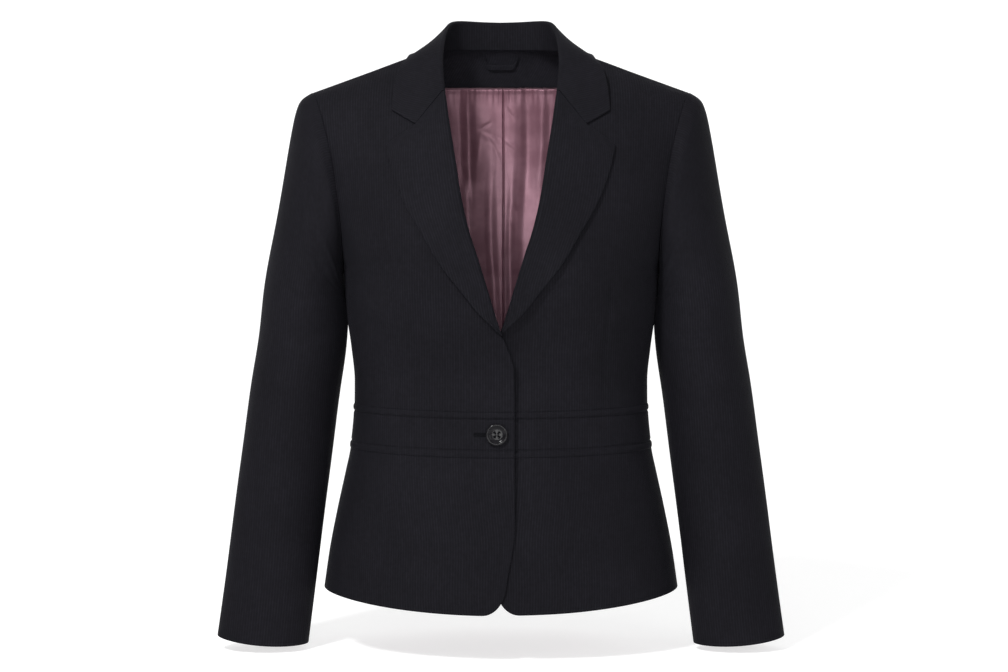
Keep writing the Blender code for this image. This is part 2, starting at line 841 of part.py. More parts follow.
def sleeve_grid():
    """Outer points and normals of a whole sleeve, ring by ring, and the columns' angles."""
    start, normals, turns = sleeve_frame()
    bicep = sleeve_ring(turns, 0)
    angle = np.radians(turns)
    high = (1 + np.cos(angle)) / 2
    swell = HEAD * (HEAD_LOW + (1 - HEAD_LOW) * high**1.5)
    swell = swell * np.clip(high / UNDERARM_FADE, 0, 1)
    push = np.stack([high, -0.8 * np.sin(angle), 0 * angle], -1)
    keys, at = [start], [0.0]
    for share in (0.05, 0.16, 0.36, 0.65):
        out = (1 - share) * (1 - math.exp(-share / ROPE))
        ring = start + (bicep - start) * share + out * swell[:, None] * push
        keys.append(ring)
        at.append(HEAD_LENGTH * share)
    for index in range(len(SLEEVE_RINGS["z"])):
        keys.append(sleeve_ring(turns, index))
        at.append(HEAD_LENGTH + SLEEVE_RINGS["z"][0] - SLEEVE_RINGS["z"][index])
    stations = np.array(
        [0, 6, 14, 26, 44, 70, 104, 145, 192, 240, 284, 324, 384, 449, 531, at[-1]]
    )
    grid = smooth(np.array(at), np.array(keys), stations)
    over, down = np.gradient(grid, axis=1), np.gradient(grid, axis=0)
    ends = grid[:, 1] - grid[:, -2]
    over[:, 0], over[:, -1] = ends, ends
    out = unit(np.cross(over, down))
    centre = grid.mean(axis=1, keepdims=True)
    out = np.where(((grid - centre) * out).sum(-1, keepdims=True) < 0, -out, out)
    out[0] = normals
    return grid, unit(out), turns


def sleeves():
    """Two-piece sleeves: a top sleeve and an under sleeve, with seams in front and behind."""
    grid, out, turns = sleeve_grid()
    grid[0] += SEAM_GAP * unit(grid[1] - grid[0])
    front = int(np.argmin(np.abs(turns - FRONT_SEAM)))
    back = int(np.argmin(np.abs(turns - BACK_SEAM)))
    under = np.arange(front, back + 1)
    last = len(turns) - 1
    top = np.concatenate([np.arange(back, last), np.arange(0, front + 1)])
    for side, _, turn in sides():
        for name, columns in (("top", top), ("under", under)):
            outer = inset(grid[:, columns], ("first_column", "last_column"), SLEEVE_SEAM_GAP)
            inner = outer - SLEEVE * out[:, columns]
            wall(f"sleeve_{name}_{side}", turn(outer), turn(inner), suiting())


# ---------------------------------------------------------------- inside the back

FACING_TOP, FACING_LOW = 529.0, 508.0  # levels of the back neck facing
FACING_REACH, FACING_TAPER = 0.5, 0.06  # its reach across a row, and how it narrows
LINING_TOP, LINING_LOW = 507.5, 20.0
LINING_REACH = 0.985
FOLD_SPACING, FOLD_DEPTH, FIRST_FOLD = 29.0, 5.0, 2.0  # the lining's soft folds
LEAST_FOLD = 0.35  # the share of that depth at the top and below the waist
HANG_LENGTH = 45.0  # the folds reach their depth this far down
CALM_SHARE, CALM_X = 0.75, (60.0, 100.0)  # and flatten towards the sides


def facing():
    """The back neck facing, inside the top of the back."""
    levels = np.array([FACING_LOW, 512, 522, FACING_TOP])
    climb = (levels - FACING_LOW) / (FACING_TOP - FACING_LOW)
    reach = FACING_REACH - FACING_TAPER * climb
    across, level = grid_of(-reach, reach, levels, 17)
    outer, inner = patch(
        False, across, level, 0, FACING, lift=-(SHELL + PLY_GAP), seams=("first_row",)
    )
    wall("back_neck_facing", outer, inner, suiting())


def lining_depth(across, level):
    """How far inside the back the lining lies: soft folds that hang from the facing."""
    x = body(False, across, level)[..., 0]
    hang = ease(level, LINING_TOP, LINING_TOP - HANG_LENGTH)
    calm = 1 - CALM_SHARE * ease(np.abs(x), *CALM_X) * ease(np.abs(across), 0.2, 0.9)
    down = LEAST_FOLD + (1 - LEAST_FOLD) * ease(level, 215, 330)
    top = LEAST_FOLD + (1 - LEAST_FOLD) * hang
    wave = 0.5 - 0.5 * np.cos(2 * math.pi * (np.abs(x) - FIRST_FOLD) / FOLD_SPACING)
    return FOLD_DEPTH * wave * calm * top * down


def linings():
    """The back lining, in two halves with a seam down the middle."""
    levels = np.array([LINING_LOW, 87, 153, 197, 225, 254, 283, 312, 342])
    levels = np.concatenate([levels, [366, 404, 430, 457, 483, 500, LINING_TOP]])
    across, level = grid_of(
        np.zeros_like(levels), np.full_like(levels, LINING_REACH), levels, 26, 1.5
    )
    for side, _, turn in sides():
        normal = outward(False, across, level)
        depth = SHELL + PLY_GAP + BAND_LIFT + lining_depth(across, level)
        outer = body(False, across, level) - depth[..., None] * normal
        inner = outer - LINING * normal
        for grid in (outer, inner):
            grid[:, 0, 0] = SEAM_GAP / 2
        wall(f"lining_back_{side}", turn(outer), turn(inner), satin())


LOOP_HALF, LOOP_WIDE, LOOP_THICK = 23.0, 5.2, 1.2
LOOP_TOP = 3.5  # its ends start this far below the facing's top
LOOP_DROP = 7.15
LEVEL_PER_MM = 0.55  # how much the level changes for each millimetre down the strip


def hanger_loop():
    """A narrow strip that hangs in a shallow loop from the neck seam, inside."""
    share = np.linspace(-1, 1, 17)
    across_x = LOOP_HALF * np.sign(share) * np.abs(share) ** 0.8
    drop = LOOP_DROP * (1 - np.abs(share) ** 4)
    rows = []
    for offset in (-LOOP_WIDE / 2, LOOP_WIDE / 2):
        levels = FACING_TOP - LOOP_TOP - drop + offset * LEVEL_PER_MM
        turn = np.radians(read(BACK_MIDDLE, "turn", levels))
        across = np.arcsin(across_x * np.sin(turn) / edge_of(False, levels)[0]) / turn
        point = body(False, across, levels)
        normal = outward(False, across, levels)
        rows.append(point - (SHELL + FACING + 2 * PLY_GAP) * normal)
    outer = np.array(rows)
    normal = np.array([normal, normal])
    wall("hanger_loop", outer, outer - LOOP_THICK * normal, suiting())


# ---------------------------------------------------------------- button

THREAD_HOLE, HOLE_AT = 1.05, 1.9  # a hole's radius, and its place out from the middle
DRILL = 12.0


def button():
    """A four-hole button on the waistband, turned with a raised rim."""
    profile = [
        (0.0, 0.0),
        (BUTTON_RADIUS - 2.2, 0.0),
        (BUTTON_RADIUS - 0.3, 1.2),
        (BUTTON_RADIUS, 2.1),
        (BUTTON_RADIUS - 0.7, BUTTON_THICK - 0.2),
        (BUTTON_RADIUS - 1.9, BUTTON_THICK),
        (BUTTON_RADIUS - 3.4, BUTTON_THICK - 0.9),
        (BUTTON_RADIUS - 5.2, BUTTON_THICK - 1.5),
        (0.0, BUTTON_THICK - 1.6),
    ]
    made = bmesh.new()
    verts = [made.verts.new((radius, 0, high)) for radius, high in profile]
    edges = [made.edges.new(pair) for pair in zip(verts, verts[1:])]
    bmesh.ops.spin(
        made,
        geom=verts + edges,
        cent=(0, 0, 0),
        axis=(0, 0, 1),
        angle=2 * math.pi,
        steps=32,
        use_merge=True,
    )
    bmesh.ops.remove_doubles(made, verts=made.verts, dist=1e-4)
    place, out = on_front(*BUTTON_AT, BAND_LIFT + SEAM_GAP, 1)
    out = out * np.array([0.0, 1.0, 1.0])
    angle = math.atan2(-out[1], out[2])
    turn = np.array(
        [
            [1, 0, 0],
            [0, math.cos(angle), -math.sin(angle)],
            [0, math.sin(angle), math.cos(angle)],
        ]
    )
    for vert in made.verts:
        vert.co = place + turn @ np.array(vert.co)
    add("button", made, horn())
    body_mesh = bpy.data.objects["button"]
    for index, (side, up) in enumerate(((-1, -1), (1, -1), (1, 1), (-1, 1))):
        bpy.ops.mesh.primitive_cylinder_add(
            vertices=12, radius=THREAD_HOLE * MM, depth=DRILL * MM
        )
        cutter = bpy.context.object
        cutter.name = f"button_hole_{index}"
        middle = place + turn @ np.array([side * HOLE_AT, up * HOLE_AT, 1.0])
        cutter.location = middle * MM
        cutter.rotation_euler = (angle, 0, 0)
        cutter.hide_render = True
        cutter.display_type = "WIRE"
        cut = body_mesh.modifiers.new(f"hole_{index}", "BOOLEAN")
        cut.operation = "DIFFERENCE"
        cut.object = cutter


def main():
    for old in list(bpy.data.objects):
        bpy.data.objects.remove(old)
    front_bodice()
    back_bodice()
    band()
    peplum_fronts()
    peplum_back()
    lapels()
    collar()
    sleeves()
    facing()
    linings()
    hanger_loop()
    button()


main()
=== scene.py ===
# %% [markdown]
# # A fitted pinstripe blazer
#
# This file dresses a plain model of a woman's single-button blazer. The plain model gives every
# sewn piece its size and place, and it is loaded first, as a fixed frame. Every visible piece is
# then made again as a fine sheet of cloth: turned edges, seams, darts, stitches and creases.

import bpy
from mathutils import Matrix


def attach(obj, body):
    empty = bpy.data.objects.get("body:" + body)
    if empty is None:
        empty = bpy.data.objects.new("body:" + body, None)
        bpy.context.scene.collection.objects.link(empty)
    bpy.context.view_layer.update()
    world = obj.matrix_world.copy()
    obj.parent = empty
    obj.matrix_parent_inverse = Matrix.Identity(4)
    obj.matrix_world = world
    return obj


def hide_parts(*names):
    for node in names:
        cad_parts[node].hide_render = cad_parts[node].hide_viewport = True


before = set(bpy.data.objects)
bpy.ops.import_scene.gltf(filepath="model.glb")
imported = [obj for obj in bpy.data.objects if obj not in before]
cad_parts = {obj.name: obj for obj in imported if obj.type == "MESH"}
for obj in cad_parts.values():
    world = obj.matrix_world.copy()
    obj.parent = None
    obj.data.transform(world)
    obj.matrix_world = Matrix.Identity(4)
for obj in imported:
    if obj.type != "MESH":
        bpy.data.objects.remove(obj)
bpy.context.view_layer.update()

import math

import bpy
import numpy as np

# %% [markdown]
# ## The shape as tables
#
# A tailor describes a jacket by measures at a few levels. Here the body is two surfaces, a front
# and a back, and a table says for each level how high and how far forward the middle line lies
# and how far the row turns towards the side. Everything is in millimetres, with +Z up, -Y in
# front and +X on the wearer's left. Tables are easier to correct than meshes: one number moves
# a whole stretch of cloth, and both sides of a seam read the same row.

# %% Cloth and driving sizes
MM = 0.001
SHELL = 1.6  # suiting and its interlining
BAND = 2.0  # waistband, two plies
LEAF = 1.7  # lapel and collar, two plies
FACING = 1.2
LINING = 1.0
SLEEVE = 1.5
PLY_GAP = 0.8  # between a piece and what it lies on
BAND_LIFT = 0.7  # the waistband stands this much proud
SIDE_SEAM_Y = 8.0
FRONT_EXTENSION = 14.5  # each front runs this far past the middle line
HEM_CORNER = 24.0  # rounded front corner at the hem
FOLD_RADIUS = 2.6  # middle of the cloth, round a lapel's or collar's fold
UNDER_FOLD = 9.0  # how far the cloth runs back inside below a lapel's fold
BUTTON_AT = (-4.2, -411.5)  # x and z
BREAK_Z = (-314.0, -299.0)  # where the front's free edge steps back under the lapel
UNDER_LAPEL = LEAF + 2.1  # and how far it steps back
CROSS_X = (22.0, 85.0)  # between these the two fronts come back to one surface
# Levels are millimetres up the garment, counted along the side from the hem.
HEM, BAND_LOW, BAND_TOP, UNDERARM, SHOULDER = 0.0, 153.0, 197.0, 342.0, 560.0
NAPE = 531.0


def table(columns, rows):
    """A table as one array for each named column."""
    return dict(zip(columns.split(), np.array(rows, float).T))


# %% The middle lines
# z, y, degrees that a row turns, how full its sides are, and how its height bows
FRONT_MIDDLE = table(
    "level z y turn full bow",
    [
        (0, -599, -125, 90, 0.92, 2.2), (42, -551, -121, 90, 0.92, 2.0),
        (86, -504, -116, 90, 0.92, 2.0), (129, -460, -110, 90, 0.92, 2.0),
        (153, -436, -106, 90, 0.92, 2.0), (197, -388, -101, 90, 0.92, 2.0),
        (225, -361, -99.5, 90, 0.92, 2.0), (261, -325, -105, 90, 0.90, 2.0),
        (301, -285, -114, 90, 0.87, 2.0), (342, -245, -121, 90, 0.85, 2.0),
        (362, -226, -122.5, 80.6, 0.85, 2.0), (390, -200, -121, 70.6, 0.86, 1.9),
        (430, -158, -113, 61, 0.90, 1.7), (468, -112, -96, 50, 0.95, 1.4),
        (500, -68, -70, 38, 1.0, 1.2), (532, -22, -32, 23, 1.0, 1.05),
        (560, 27, 6, 14, 1.0, 1.0),
    ],
)
BACK_MIDDLE = table(
    "level z y turn full bow",
    [
        (0, -590, 121, 90, 0.92, 2.0), (42, -546, 115, 90, 0.92, 2.0),
        (86, -501, 107, 90, 0.92, 2.0), (129, -457, 97, 90, 0.92, 2.0),
        (153, -433, 91, 90, 0.92, 2.0), (197, -388, 84, 90, 0.92, 2.0),
        (225, -361, 83, 90, 0.92, 2.0), (261, -325, 89, 90, 0.89, 2.0),
        (301, -285, 99, 90, 0.84, 2.0), (342, -244, 107, 90, 0.80, 2.0),
        (362, -225, 110, 81.5, 0.80, 2.0), (390, -198, 113, 70.9, 0.82, 2.0),
        (430, -150, 115, 61.5, 0.87, 2.0), (468, -98, 111, 52, 0.93, 2.0),
        (500, -50, 101, 42, 1.0, 2.0), (531, 8, 78, 29, 1.0, 1.8),
        (560, 27, 6, 14, 1.0, 1.0),
    ],
)

# %% Side seam and armholes
SIDE_SEAM = table(
    "level x z",
    [
        (0, 193.7, -585.5), (42, 187.6, -544), (86, 179.0, -500), (129, 169.5, -457),
        (153, 164.5, -433), (197, 160.2, -385), (225, 160.0, -360), (261, 163.4, -324),
        (301, 168.6, -285), (342, 171.6, -243),
    ],
)
FRONT_ARMHOLE = table(
    "level x y z",
    [
        (342, 171.6, 8, -243), (362, 170.0, -20, -233), (390, 170.5, -42, -206),
        (430, 174.5, -52, -163), (468, 181.0, -46, -121), (500, 189.5, -33, -85),
        (532, 199.0, -15, -57), (548, 203.0, -4, -49.5), (560, 205.0, 6, -47),
    ],
)
BACK_ARMHOLE = table(
    "level x y z",
    [
        (342, 171.6, 8, -243), (362, 171.0, 31, -233), (390, 174.5, 51, -206),
        (430, 181.0, 61, -163), (468, 187.5, 56, -121), (500, 193.5, 43, -86),
        (532, 200.5, 25, -58), (548, 203.5, 15, -50), (560, 205.0, 6, -47),
    ],
)

# %% The opening, the lapel and the collar
# The opening's x at each height: neckline, roll line, then the front edge.
OPENING = table(
    "z x",
    [
        (-560, -14.5), (-391, -14.5), (-345, -14.0), (-334, -11.4), (-301, 1.0),
        (-263, 12.6), (-228, 23.2), (-196, 33.4), (-164, 40.8), (-123, 47.5), (-81, 54.5),
        (-48, 59.6), (-24, 66.5), (0, 76.0), (20, 84.0),
    ],
)
# Half the room that the two fronts need where they cross.
OVERLAP = table(
    "z half",
    [
        (-600, 1.3), (-433, 1.3), (-385, 1.3), (-350, 2.2), (-320, 3.5), (-296, 3.8),
        (-268, 2.4), (-230, 0.7), (-190, 0.0), (40, 0.0),
    ],
)
LAPEL_EDGE = table(
    "z x",
    [
        (-304, 2.0), (-296, 9.5), (-286, 20.5), (-260, 41.5), (-233, 63.0), (-200, 82.5),
        (-166, 101.5), (-128, 115.5), (-108, 119.8),
    ],
)
LAPEL_ROWS = table(
    "roll_z edge_z",
    [
        (-308, -304), (-302, -296), (-289, -282), (-268, -262), (-245, -239), (-222, -217),
        (-198, -196), (-170, -176), (-142, -158), (-114, -141), (-90, -128), (-69, -116),
        (-48, -108),
    ],
)
GORGE_TOP = np.array([59.6, -48.0])
NOTCH = np.array([88.5, -85.0])
COLLAR_TIP = np.array([115.8, -70.5])
LAPEL_TIP = np.array([119.8, -108.0])
# The collar from the middle of the back to the shoulder: foot of the stand, fold and edge.
COLLAR = table(
    "along nx ny nz fx fy fz ex ey ez swell",
    [
        (0, 0, 76.0, 4.9, 0, 77, 36.2, 0, 89.5, -10, 1.2),
        (28, 27.4, 73.1, 4.6, 26, 74, 36.8, 36, 87.5, -11, 1.2),
        (56, 54.5, 58.7, 3.0, 50, 60, 36, 72.5, 76, -11.5, 2.2),
        (82, 71.6, 30.3, -1.0, 58.5, 34, 27, 92, 48, -10, 3.0),
        (108, 74.5, 4, -4.5, 61.5, 4, 10, 99.5, 12, -8.5, 2.6),
        (136, 66.6, -18, -18, 63.0, -20, -10, 109, -18, -21, 1.2),
    ],
)
COLLAR_LENGTH = 188.0
COLLAR_ROOM = LEAF / 2 + 1.4  # from the body to the middle of the collar's cloth
COLLAR_LIFT = 0.3  # the collar's end lies this much higher than the lapel's
COLLAR_TUCK = 0.5  # how far the collar's end goes back inside
GORGE_LAP = np.array([-0.32, -0.25])  # the collar covers the gorge seam by this much
SLEEVE_RINGS = table(
    "x y z half_width half_depth tilt",
    [
        (212.9, 4.5, -276, 46.3, 60.0, 0.22), (216.7, 5.0, -318, 47.5, 57.5, 0.16),
        (223.2, 4.5, -360, 48.0, 54.0, 0.15), (231.2, 1.5, -420, 48.4, 49.0, 0.14),
        (239.5, -5.0, -485, 48.6, 43.5, 0.13), (249.4, -13.5, -567, 48.9, 37.5, 0.10),
        (258.6, -21.5, -640, 49.4, 33.5, 0.085),
    ],
)

# %% [markdown]
# ## Reading a table smoothly
#
# Two kinds of curve join the rows. Girths and heights use a cubic that never swings past its
# rows, so that a waist stays where it was measured. Folded pieces, such as the collar, use a
# natural spline, which bends as evenly as a thin strip of wood would.


# %% Curves through the rows
def smooth(knots, values, at):
    """The natural cubic spline through values at knots: the second slopes are found from one
    set of linear equations, and each stretch is its chord plus two cubic terms."""
    knots, values = np.asarray(knots, float), np.asarray(values, float)
    shape = np.shape(at) + values.shape[1:]
    values = values.reshape(len(knots), -1)
    at = np.asarray(at, float).ravel()
    step = np.diff(knots)
    count = len(knots)
    slope = np.diff(values, axis=0) / step[:, None]
    system, right = np.eye(count), np.zeros_like(values)
    inner = np.arange(1, count - 1)
    system[inner, inner - 1] = step[:-1]
    system[inner, inner] = 2 * (step[:-1] + step[1:])
    system[inner, inner + 1] = step[1:]
    right[inner] = 6 * np.diff(slope, axis=0)
    bend = np.linalg.solve(system, right)
    i = np.clip(np.searchsorted(knots, at, side="right") - 1, 0, count - 2)
    t = ((at - knots[i]) / step[i])[:, None]
    low, high = (1 - t) ** 3 - (1 - t), t**3 - t
    curve = (step[i] ** 2 / 6)[:, None] * (low * bend[i] + high * bend[i + 1])
    return (values[i] * (1 - t) + values[i + 1] * t + curve).reshape(shape)


def read(source, column, at, key="level"):
    """One column read at `at`: cubics whose slope at a row is the harmonic mean of the slopes
    on both sides of it, and 0 where they differ in sign."""
    knots, values = source[key], source[column]
    step = np.diff(knots)
    slope = np.diff(values) / step
    before, after = slope[:-1], slope[1:]
    same = before * after > 0
    weight = 2 * step[1:] + step[:-1], step[1:] + 2 * step[:-1]
    mean = sum(weight) / (
        weight[0] / np.where(same, before, 1) + weight[1] / np.where(same, after, 1)
    )
    tangent = np.concatenate([slope[:1], np.where(same, mean, 0), slope[-1:]])
    at = np.asarray(at, float)
    i = np.clip(np.searchsorted(knots, at, side="right") - 1, 0, len(knots) - 2)
    t = (at - knots[i]) / step[i]
    ends = values[i] * (1 + 2 * t) * (1 - t) ** 2 + values[i + 1] * t**2 * (3 - 2 * t)
    bends = tangent[i] * t * (1 - t) ** 2 - tangent[i + 1] * t**2 * (1 - t)
    return ends + step[i] * bends


def ease(value, start, end):
    """0 at start, 1 at end: three times the square less twice the cube between."""
    t = np.clip((np.asarray(value, float) - start) / (end - start), 0, 1)
    return t * t * (3 - 2 * t)


def unit(vectors):
    """Each vector over its own length."""
    return vectors / np.maximum(np.linalg.norm(vectors, axis=-1, keepdims=True), 1e-9)


def distance_run(points, axis=0):
    """The sum of the steps from the first point to each one, along one axis of a grid."""
    steps = np.linalg.norm(np.diff(points, axis=axis), axis=-1)
    start = np.zeros_like(np.take(steps, [0], axis=axis))
    return np.concatenate([start, np.cumsum(steps, axis=axis)], axis=axis)


# %% [markdown]
# ## The body's two surfaces
#
# A row of the body starts on the middle line and turns outwards like part of an ellipse. The
# chest adds a soft swelling, as darts and steam give it, and so do the shoulder blades. The two
# fronts lie one on the other, so each moves out or in a little where they cross.


# %% A point of the body, and its normal
BUST = (6.5, 88.0, 46.0, -250.0, 44.0)  # height, x, half width, z, half height
BLADE = (4.5, 74.0, 44.0, -140.0, 60.0)
SWELL_POWER = 6  # how late along a row the swellings fade
STEP, RISE = 1e-3, 0.2  # short steps across a row and up the levels
HALVINGS, ROUNDS = 30, 12  # of the two searches


def edge_of(front, level):
    """x, y and z of the side seam below the underarm, and of the armhole above it."""
    armhole = FRONT_ARMHOLE if front else BACK_ARMHOLE
    low, high = np.minimum(level, UNDERARM), np.maximum(level, UNDERARM)
    below = level <= UNDERARM
    x = np.where(below, read(SIDE_SEAM, "x", low), read(armhole, "x", high))
    y = np.where(below, SIDE_SEAM_Y, read(armhole, "y", high))
    z = np.where(below, read(SIDE_SEAM, "z", low), read(armhole, "z", high))
    return x, y, z


def height(front, x, level):
    """z goes from the middle line's to the edge's by a power of x over the edge's x."""
    middle = FRONT_MIDDLE if front else BACK_MIDDLE
    edge_x, _, edge_z = edge_of(front, level)
    middle_z = read(middle, "z", level)
    share = np.abs(x / edge_x) ** read(middle, "bow", level)
    return middle_z + (edge_z - middle_z) * share


def swelling(x, z, size):
    """A bell-shaped hill on each side of the middle line."""
    high, at_x, wide, at_z, tall = size
    return high * np.exp(-(((np.abs(x) - at_x) / wide) ** 2) - ((z - at_z) / tall) ** 2)


def fading(across, power):
    """1 less a power of across: 1 at the middle line, and 0 at the end of a row."""
    return 1 - np.clip(np.abs(across), 0, 1) ** power


def body(front, across, level, layer=0):
    """x is the sine of the turn, y a power of its cosine, and z comes from height().
    across is 0 at the middle line and 1 at the side; layer is 1 for the upper front."""
    middle = FRONT_MIDDLE if front else BACK_MIDDLE
    across, level = np.broadcast_arrays(np.asarray(across, float), np.asarray(level, float))
    turn = np.radians(read(middle, "turn", level))
    edge_x, edge_y, _ = edge_of(front, level)
    x = edge_x * np.sin(across * turn) / np.sin(turn)
    full = read(middle, "full", level)
    last = np.clip(np.cos(turn), 0, 1) ** full
    share = (np.clip(np.cos(across * turn), 0, 1) ** full - last) / (1 - last)
    y = edge_y + (read(middle, "y", level) - edge_y) * share
    z = height(front, x, level)
    free = fading(across, SWELL_POWER)
    if front:
        room = np.interp(z, OVERLAP["z"], OVERLAP["half"]) * (1 - ease(np.abs(x), *CROSS_X))
        y = y - swelling(x, z, BUST) * free - layer * room
    else:
        y = y + swelling(x, z, BLADE) * free
    return np.stack([x, y, z], axis=-1)


def outward(front, across, level, layer=0):
    """The cross product of a short step across the row and a short step up."""
    before, after = (body(front, across + step, level, layer) for step in (-STEP, STEP))
    below, above = (body(front, across, level + rise, layer) for rise in (-RISE, RISE))
    over, up = after - before, above - below
    return unit(np.cross(over, up) if front else np.cross(up, over))


def level_at(x, z):
    """The level whose row passes through x and z, found by halving the range again and again."""
    x, z = np.broadcast_arrays(np.asarray(x, float), np.asarray(z, float))
    low, high = np.full(x.shape, HEM), np.full(x.shape, SHOULDER)
    for _ in range(HALVINGS):
        level = (low + high) / 2
        above = height(True, x, level) > z
        low, high = np.where(above, low, level), np.where(above, level, high)
    return (low + high) / 2


def across_at(x, level):
    """How far across a row of the front x lies: the arc sine of its share of the edge."""
    turn = np.radians(read(FRONT_MIDDLE, "turn", level))
    sine = np.clip(x * np.sin(turn) / edge_of(True, level)[0], -1, 1)
    return np.arcsin(sine) / turn


def on_front(x, z, lift, layer):
    """The point of the front seen at x and z from straight ahead, moved out by lift."""
    level = level_at(x, z)
    across = across_at(x, level)
    point = body(True, across, level, layer)
    normal = outward(True, across, level, layer)
    return point + np.asarray(lift, float)[..., None] * normal, normal


def opening_x(level, spare):
    """x of the front's free edge on a row, moved out by spare above the lapel's break. x
    changes z a little and z changes x, so both are found in turns until they agree."""
    x = np.zeros_like(level)
    for _ in range(ROUNDS):
        z = height(True, x, level)
        x = read(OPENING, "x", z, "z") + spare * ease(z, *BREAK_Z)
    return x


print("half waist:", round(float(edge_of(True, np.array(225.0))[0]), 1), "mm")

# %% [markdown]
# ## Cloth effects as node groups
#
# The suiting, its reverse and the satin share three effects: threads that cross, stripes woven
# into them, and slow changes of tone. Each is a node group, made once and given other values in
# each material. They read the cloth's own map, whose unit is a metre along and across the
# grain, so a stripe follows its piece round the body as it does on a real jacket.


# %% Small helpers for nodes
def group(name, output, **inputs):
    """An empty node group: an input is a number, or a vector where its value is None. Also
    what comes in, and the inner socket that takes what goes out."""
    tree = bpy.data.node_groups.new(name, "ShaderNodeTree")
    for label, value in inputs.items():
        kind = "NodeSocketVector" if value is None else "NodeSocketFloat"
        made = tree.interface.new_socket(label, in_out="INPUT", socket_type=kind)
        if value is not None:
            made.default_value = value
    tree.interface.new_socket(output, in_out="OUTPUT", socket_type="NodeSocketFloat")
    given = tree.nodes.new("NodeGroupInput").outputs
    return tree, given, tree.nodes.new("NodeGroupOutput").inputs[output]


def put(tree, value, socket):
    """Links an output to a socket, or sets the socket to a plain value."""
    if isinstance(value, bpy.types.NodeSocket):
        tree.links.new(value, socket)
    else:
        socket.default_value = value


def maths(tree, operation, *values):
    """A Math node on values or outputs, and its output."""
    node = tree.nodes.new("ShaderNodeMath")
    node.operation = operation
    for value, socket in zip(values, node.inputs):
        put(tree, value, socket)
    return node.outputs[0]


def ramp(tree, value, low, high, to_low=0.0, to_high=1.0):
    """A smooth step from to_low at low to to_high at high."""
    node = tree.nodes.new("ShaderNodeMapRange")
    node.interpolation_type = "SMOOTHSTEP"
    labels = ("Value", "From Min", "From Max", "To Min", "To Max")
    for label, number in zip(labels, (value, low, high, to_low, to_high)):
        put(tree, number, node.inputs[label])
    return node.outputs[0]


def noise(tree, vector, scale, detail=2.0):
    """A Noise Texture's value, from 0 to 1 and mostly near 0.5."""
    node = tree.nodes.new("ShaderNodeTexNoise")
    put(tree, vector, node.inputs["Vector"])
    put(tree, scale, node.inputs["Scale"])
    node.inputs["Detail"].default_value = detail
    return node.outputs["Fac"]


def mixed(tree, share, first, second):
    """A colour between two colours."""
    node = tree.nodes.new("ShaderNodeMix")
    node.data_type = "RGBA"
    put(tree, share, node.inputs[0])
    put(tree, first, node.inputs[6])
    put(tree, second, node.inputs[7])
    return node.outputs[2]


# %% The shared effects
TURN = 2 * math.pi


def first_two(tree, vector):
    """The first two values of a vector, each as an output of its own."""
    split = tree.nodes.new("ShaderNodeSeparateXYZ")
    tree.links.new(vector, split.inputs[0])
    return split.outputs[0], split.outputs[1]


def wave(tree, place, pitch):
    """The sine of a whole turn for each pitch."""
    turns = maths(tree, "DIVIDE", place, pitch)
    return maths(tree, "SINE", maths(tree, "MULTIPLY", turns, TURN))


def weave_group():
    """Height of crossing threads: the sum of a wave across and a wave along the grain, with a
    slow wander so that the threads are not drawn with a ruler."""
    tree, given, result = group("crossing threads", "Height", Map=None, Pitch=0.0006, Slant=1.0)
    u, v = first_two(tree, given["Map"])
    wander = maths(tree, "MULTIPLY", noise(tree, given["Map"], 90.0), 0.0008)
    across = maths(tree, "ADD", u, wander)
    along = maths(tree, "MULTIPLY", v, given["Slant"])
    rows = wave(tree, across, given["Pitch"])
    lines = wave(tree, maths(tree, "ADD", across, along), given["Pitch"])
    parts = maths(tree, "MULTIPLY", rows, 0.3), maths(tree, "MULTIPLY", lines, 0.5)
    put(tree, maths(tree, "ADD", *parts), result)
    return tree


def stripe_group():
    """A mask of fine stripes: 1 on a stripe, found from how far the map's first value is from
    a multiple of the pitch, broken up along its length as a dotted yarn is."""
    tree, given, result = group("woven stripe", "Mask", Map=None, Pitch=0.0029, Width=0.0007)
    u, _ = first_two(tree, given["Map"])
    apart = maths(tree, "PINGPONG", u, maths(tree, "MULTIPLY", given["Pitch"], 0.5))
    core = maths(tree, "MULTIPLY", given["Width"], 0.3)
    line = ramp(tree, apart, core, given["Width"], 1.0, 0.0)
    stretched = tree.nodes.new("ShaderNodeMapping")
    stretched.inputs["Scale"].default_value = (1.0, 0.12, 1.0)
    tree.links.new(given["Map"], stretched.inputs["Vector"])
    broken = ramp(tree, noise(tree, stretched.outputs[0], 420.0, 1.0), 0.3, 0.7, 0.45, 1.0)
    put(tree, maths(tree, "MULTIPLY", line, broken), result)
    return tree


def tone_group():
    """Slow changes of tone: a broad noise times a finer one, both round 1."""
    tree, given, result = group("tone", "Tone", Place=None, Broad=12.0, Fine=260.0)
    clouds = []
    for label, detail in (("Broad", 3.0), ("Fine", 2.0)):
        cloud = noise(tree, given["Place"], given[label], detail)
        clouds.append(ramp(tree, cloud, 0.3, 0.7, 0.9, 1.1))
    put(tree, maths(tree, "MULTIPLY", *clouds), result)
    return tree


WEAVE, STRIPE, TONE = weave_group(), stripe_group(), tone_group()

# %% [markdown]
# ## Suiting, satin, horn and thread
#
# The suiting is almost black navy with a slightly lighter stripe every three millimetres. It is
# matt, with a faint bloom of wool at grazing angles. The neck's facing and the hanger loop take the
# same suiting painted lighter, which is painted light: hardly any light falls there. The lining is
# mauve satin, whose soft gloss runs in long streaks along its folds. The button is smooth horn,
# and the stitches are a twisted thread about as dark as the cloth.


# %% Materials
def material(name, colour, roughness):
    """A new material with its Principled shader, the tree, and constants set on the shader."""
    made = bpy.data.materials.new(name)
    made.use_nodes = True
    shader = made.node_tree.nodes["Principled BSDF"]
    shader.inputs["Base Color"].default_value = (*colour, 1)
    shader.inputs["Roughness"].default_value = roughness
    return made, made.node_tree, shader


